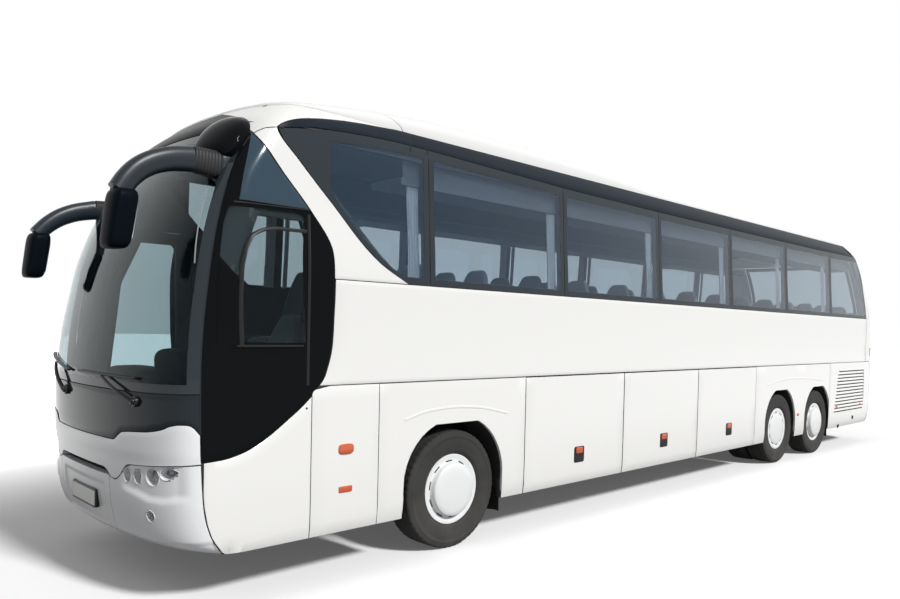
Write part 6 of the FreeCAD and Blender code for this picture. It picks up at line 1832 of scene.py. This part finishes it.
# Driver's place: instrument hood and the top of the dashboard beside it.
hood = Builder()
addBlob(hood, blob((noseX - 0.56, 0.6, 1.54), (0.15, 0.33, 0.21), 0.5, 28, 16,
        lambda u: np.stack([u[..., 0] + 0.25 * u[..., 2], u[..., 1], u[..., 2]], -1)))
addBlob(hood, blob((noseX - 0.52, -0.2, 1.46), (0.17, 0.46, 0.12), 0.5, 24, 12))
place(hood.object("instrumentHood", dashPlastic), "coach_body", "black_plastic")
print("inside")

# Camera, light and floor.
view = {"eye": (8.6041, 5.9512, 1.9375), "yaw": -134.344, "pitch": -1.46, "roll": 1.257, "focal": 741.07
    / 900 * 36, "shift": (-0.0159, 0.0539), "sun": 3.2, "sunHeight": 39.0, "sunTurn": 84.0,
    "sunAngle": 9.0, "sky": 0.24, "ground": (0.35, 0.35, 0.355), "glowLeast": 0.085, "glowFrom": 3.2,
    "glowTo": 7.0,}


def addCamera():
    data = bpy.data.cameras.new("camera")
    data.lens, data.sensor_width = view["focal"], 36
    data.shift_x, data.shift_y = view["shift"]
    data.clip_end = 200
    yaw, pitch, roll = (math.radians(view[k]) for k in ("yaw", "pitch", "roll"))
    forward = np.array([math.cos(yaw) * math.cos(pitch), math.sin(yaw) * math.cos(pitch), math.sin(pitch)])
    level = np.array([math.sin(yaw), -math.cos(yaw), 0])
    raised = np.cross(level, forward)
    right = level * math.cos(roll) + raised * math.sin(roll)
    up = -level * math.sin(roll) + raised * math.cos(roll)
    camera = bpy.data.objects.new("camera", data)
    turn = Matrix((right, up, -forward)).transposed().to_4x4()
    camera.matrix_world = Matrix.Translation(view["eye"]) @ turn
    bpy.context.scene.collection.objects.link(camera)
    bpy.context.scene.camera = camera


# Daylight from the left and a little behind: direction from its height and its turn round the coach.
def addSun():
    data = bpy.data.lights.new("sun", "SUN")
    data.energy, data.angle = view["sun"], math.radians(view["sunAngle"])
    lamp = bpy.data.objects.new("sun", data)
    height, turn = math.radians(view["sunHeight"]), math.radians(view["sunTurn"])
    toSun = Vector((-math.cos(turn) * math.cos(height), math.sin(turn) * math.cos(height), math.sin(height)))
    lamp.location = toSun * 20
    lamp.rotation_euler = toSun.to_track_quat("Z", "Y").to_euler()
    bpy.context.scene.collection.objects.link(lamp)


# One for what the camera sees straight or through glass; and the same with mirrored rays added.
def seenRays(tree):
    rays = node(tree, "ShaderNodeLightPath").outputs
    straight = mathNode(tree, "MAXIMUM", rays["Is Camera Ray"], rays["Is Transmission Ray"])
    return straight, mathNode(tree, "MAXIMUM", straight, rays["Is Glossy Ray"])


def addWorld():
    world = bpy.data.worlds.new("world")
    bpy.context.scene.world = world
    world.use_nodes = True
    tree = world.node_tree
    tree.nodes.clear()
    seen = seenRays(tree)[1]
    strength = node(tree, "ShaderNodeMapRange", {"Value": seen, "To Min": view["sky"], "To Max": 1.0})
    ground = node(tree, "ShaderNodeBackground", {"Color": (1, 1, 1, 1), "Strength": strength.outputs[0]})
    output = node(tree, "ShaderNodeOutputWorld")
    tree.links.new(ground.outputs[0], output.inputs[0])


# Floor: pale and matt, white to the camera; its own glow, painted light, lifts the coach's shadow a little
# near it and grows with the distance from the coach.
def addFloor():
    size = 120.0
    points = [(-size, -size, 0), (size, -size, 0), (size, size, 0), (-size, size, 0)]
    made, tree, shader = newMaterial("floorWhite")
    setShader(shader, {"Roughness": 0.9, "Specular IOR Level": 0.0, "Emission Color": (1, 1, 1, 1)})
    straight, seen = seenRays(tree)
    tone = node(tree, "ShaderNodeMix", {"Factor": straight, "A": (*view["ground"], 1), "B": (1, 1, 1, 1)},
        data_type="RGBA")
    tree.links.new(tone.outputs["Result"], shader.inputs["Base Color"])
    place3 = node(tree, "ShaderNodeTexCoord").outputs["Object"]
    centred = node(tree, "ShaderNodeMapping", {"Vector": place3, "Scale": (0.42, 1.0, 1.0)})
    far = node(tree, "ShaderNodeVectorMath", {0: centred.outputs[0]}, operation="LENGTH")
    rise = node(tree, "ShaderNodeMapRange", {"Value": far.outputs["Value"], "From Min": view["glowFrom"],
            "From Max": view["glowTo"], "To Min": view["glowLeast"], "To Max": 1.0},
        interpolation_type="SMOOTHSTEP")
    tree.links.new(mathNode(tree, "MULTIPLY", seen, rise.outputs[0]), shader.inputs["Emission Strength"])
    makeObject("floor", points, [np.array([[0, 1, 2, 3]])], made, None, False)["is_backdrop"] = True


addCamera()
addWorld()
addFloor()
addSun()

scene = bpy.context.scene
scene.view_settings.view_transform = "Standard"
scene.cycles.max_bounces = 12
scene.cycles.transmission_bounces = 12
scene.cycles.transparent_max_bounces = 16

low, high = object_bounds()
{"cad": [list(cadLow), list(cadHigh)], "all": [list(low), list(high)]}
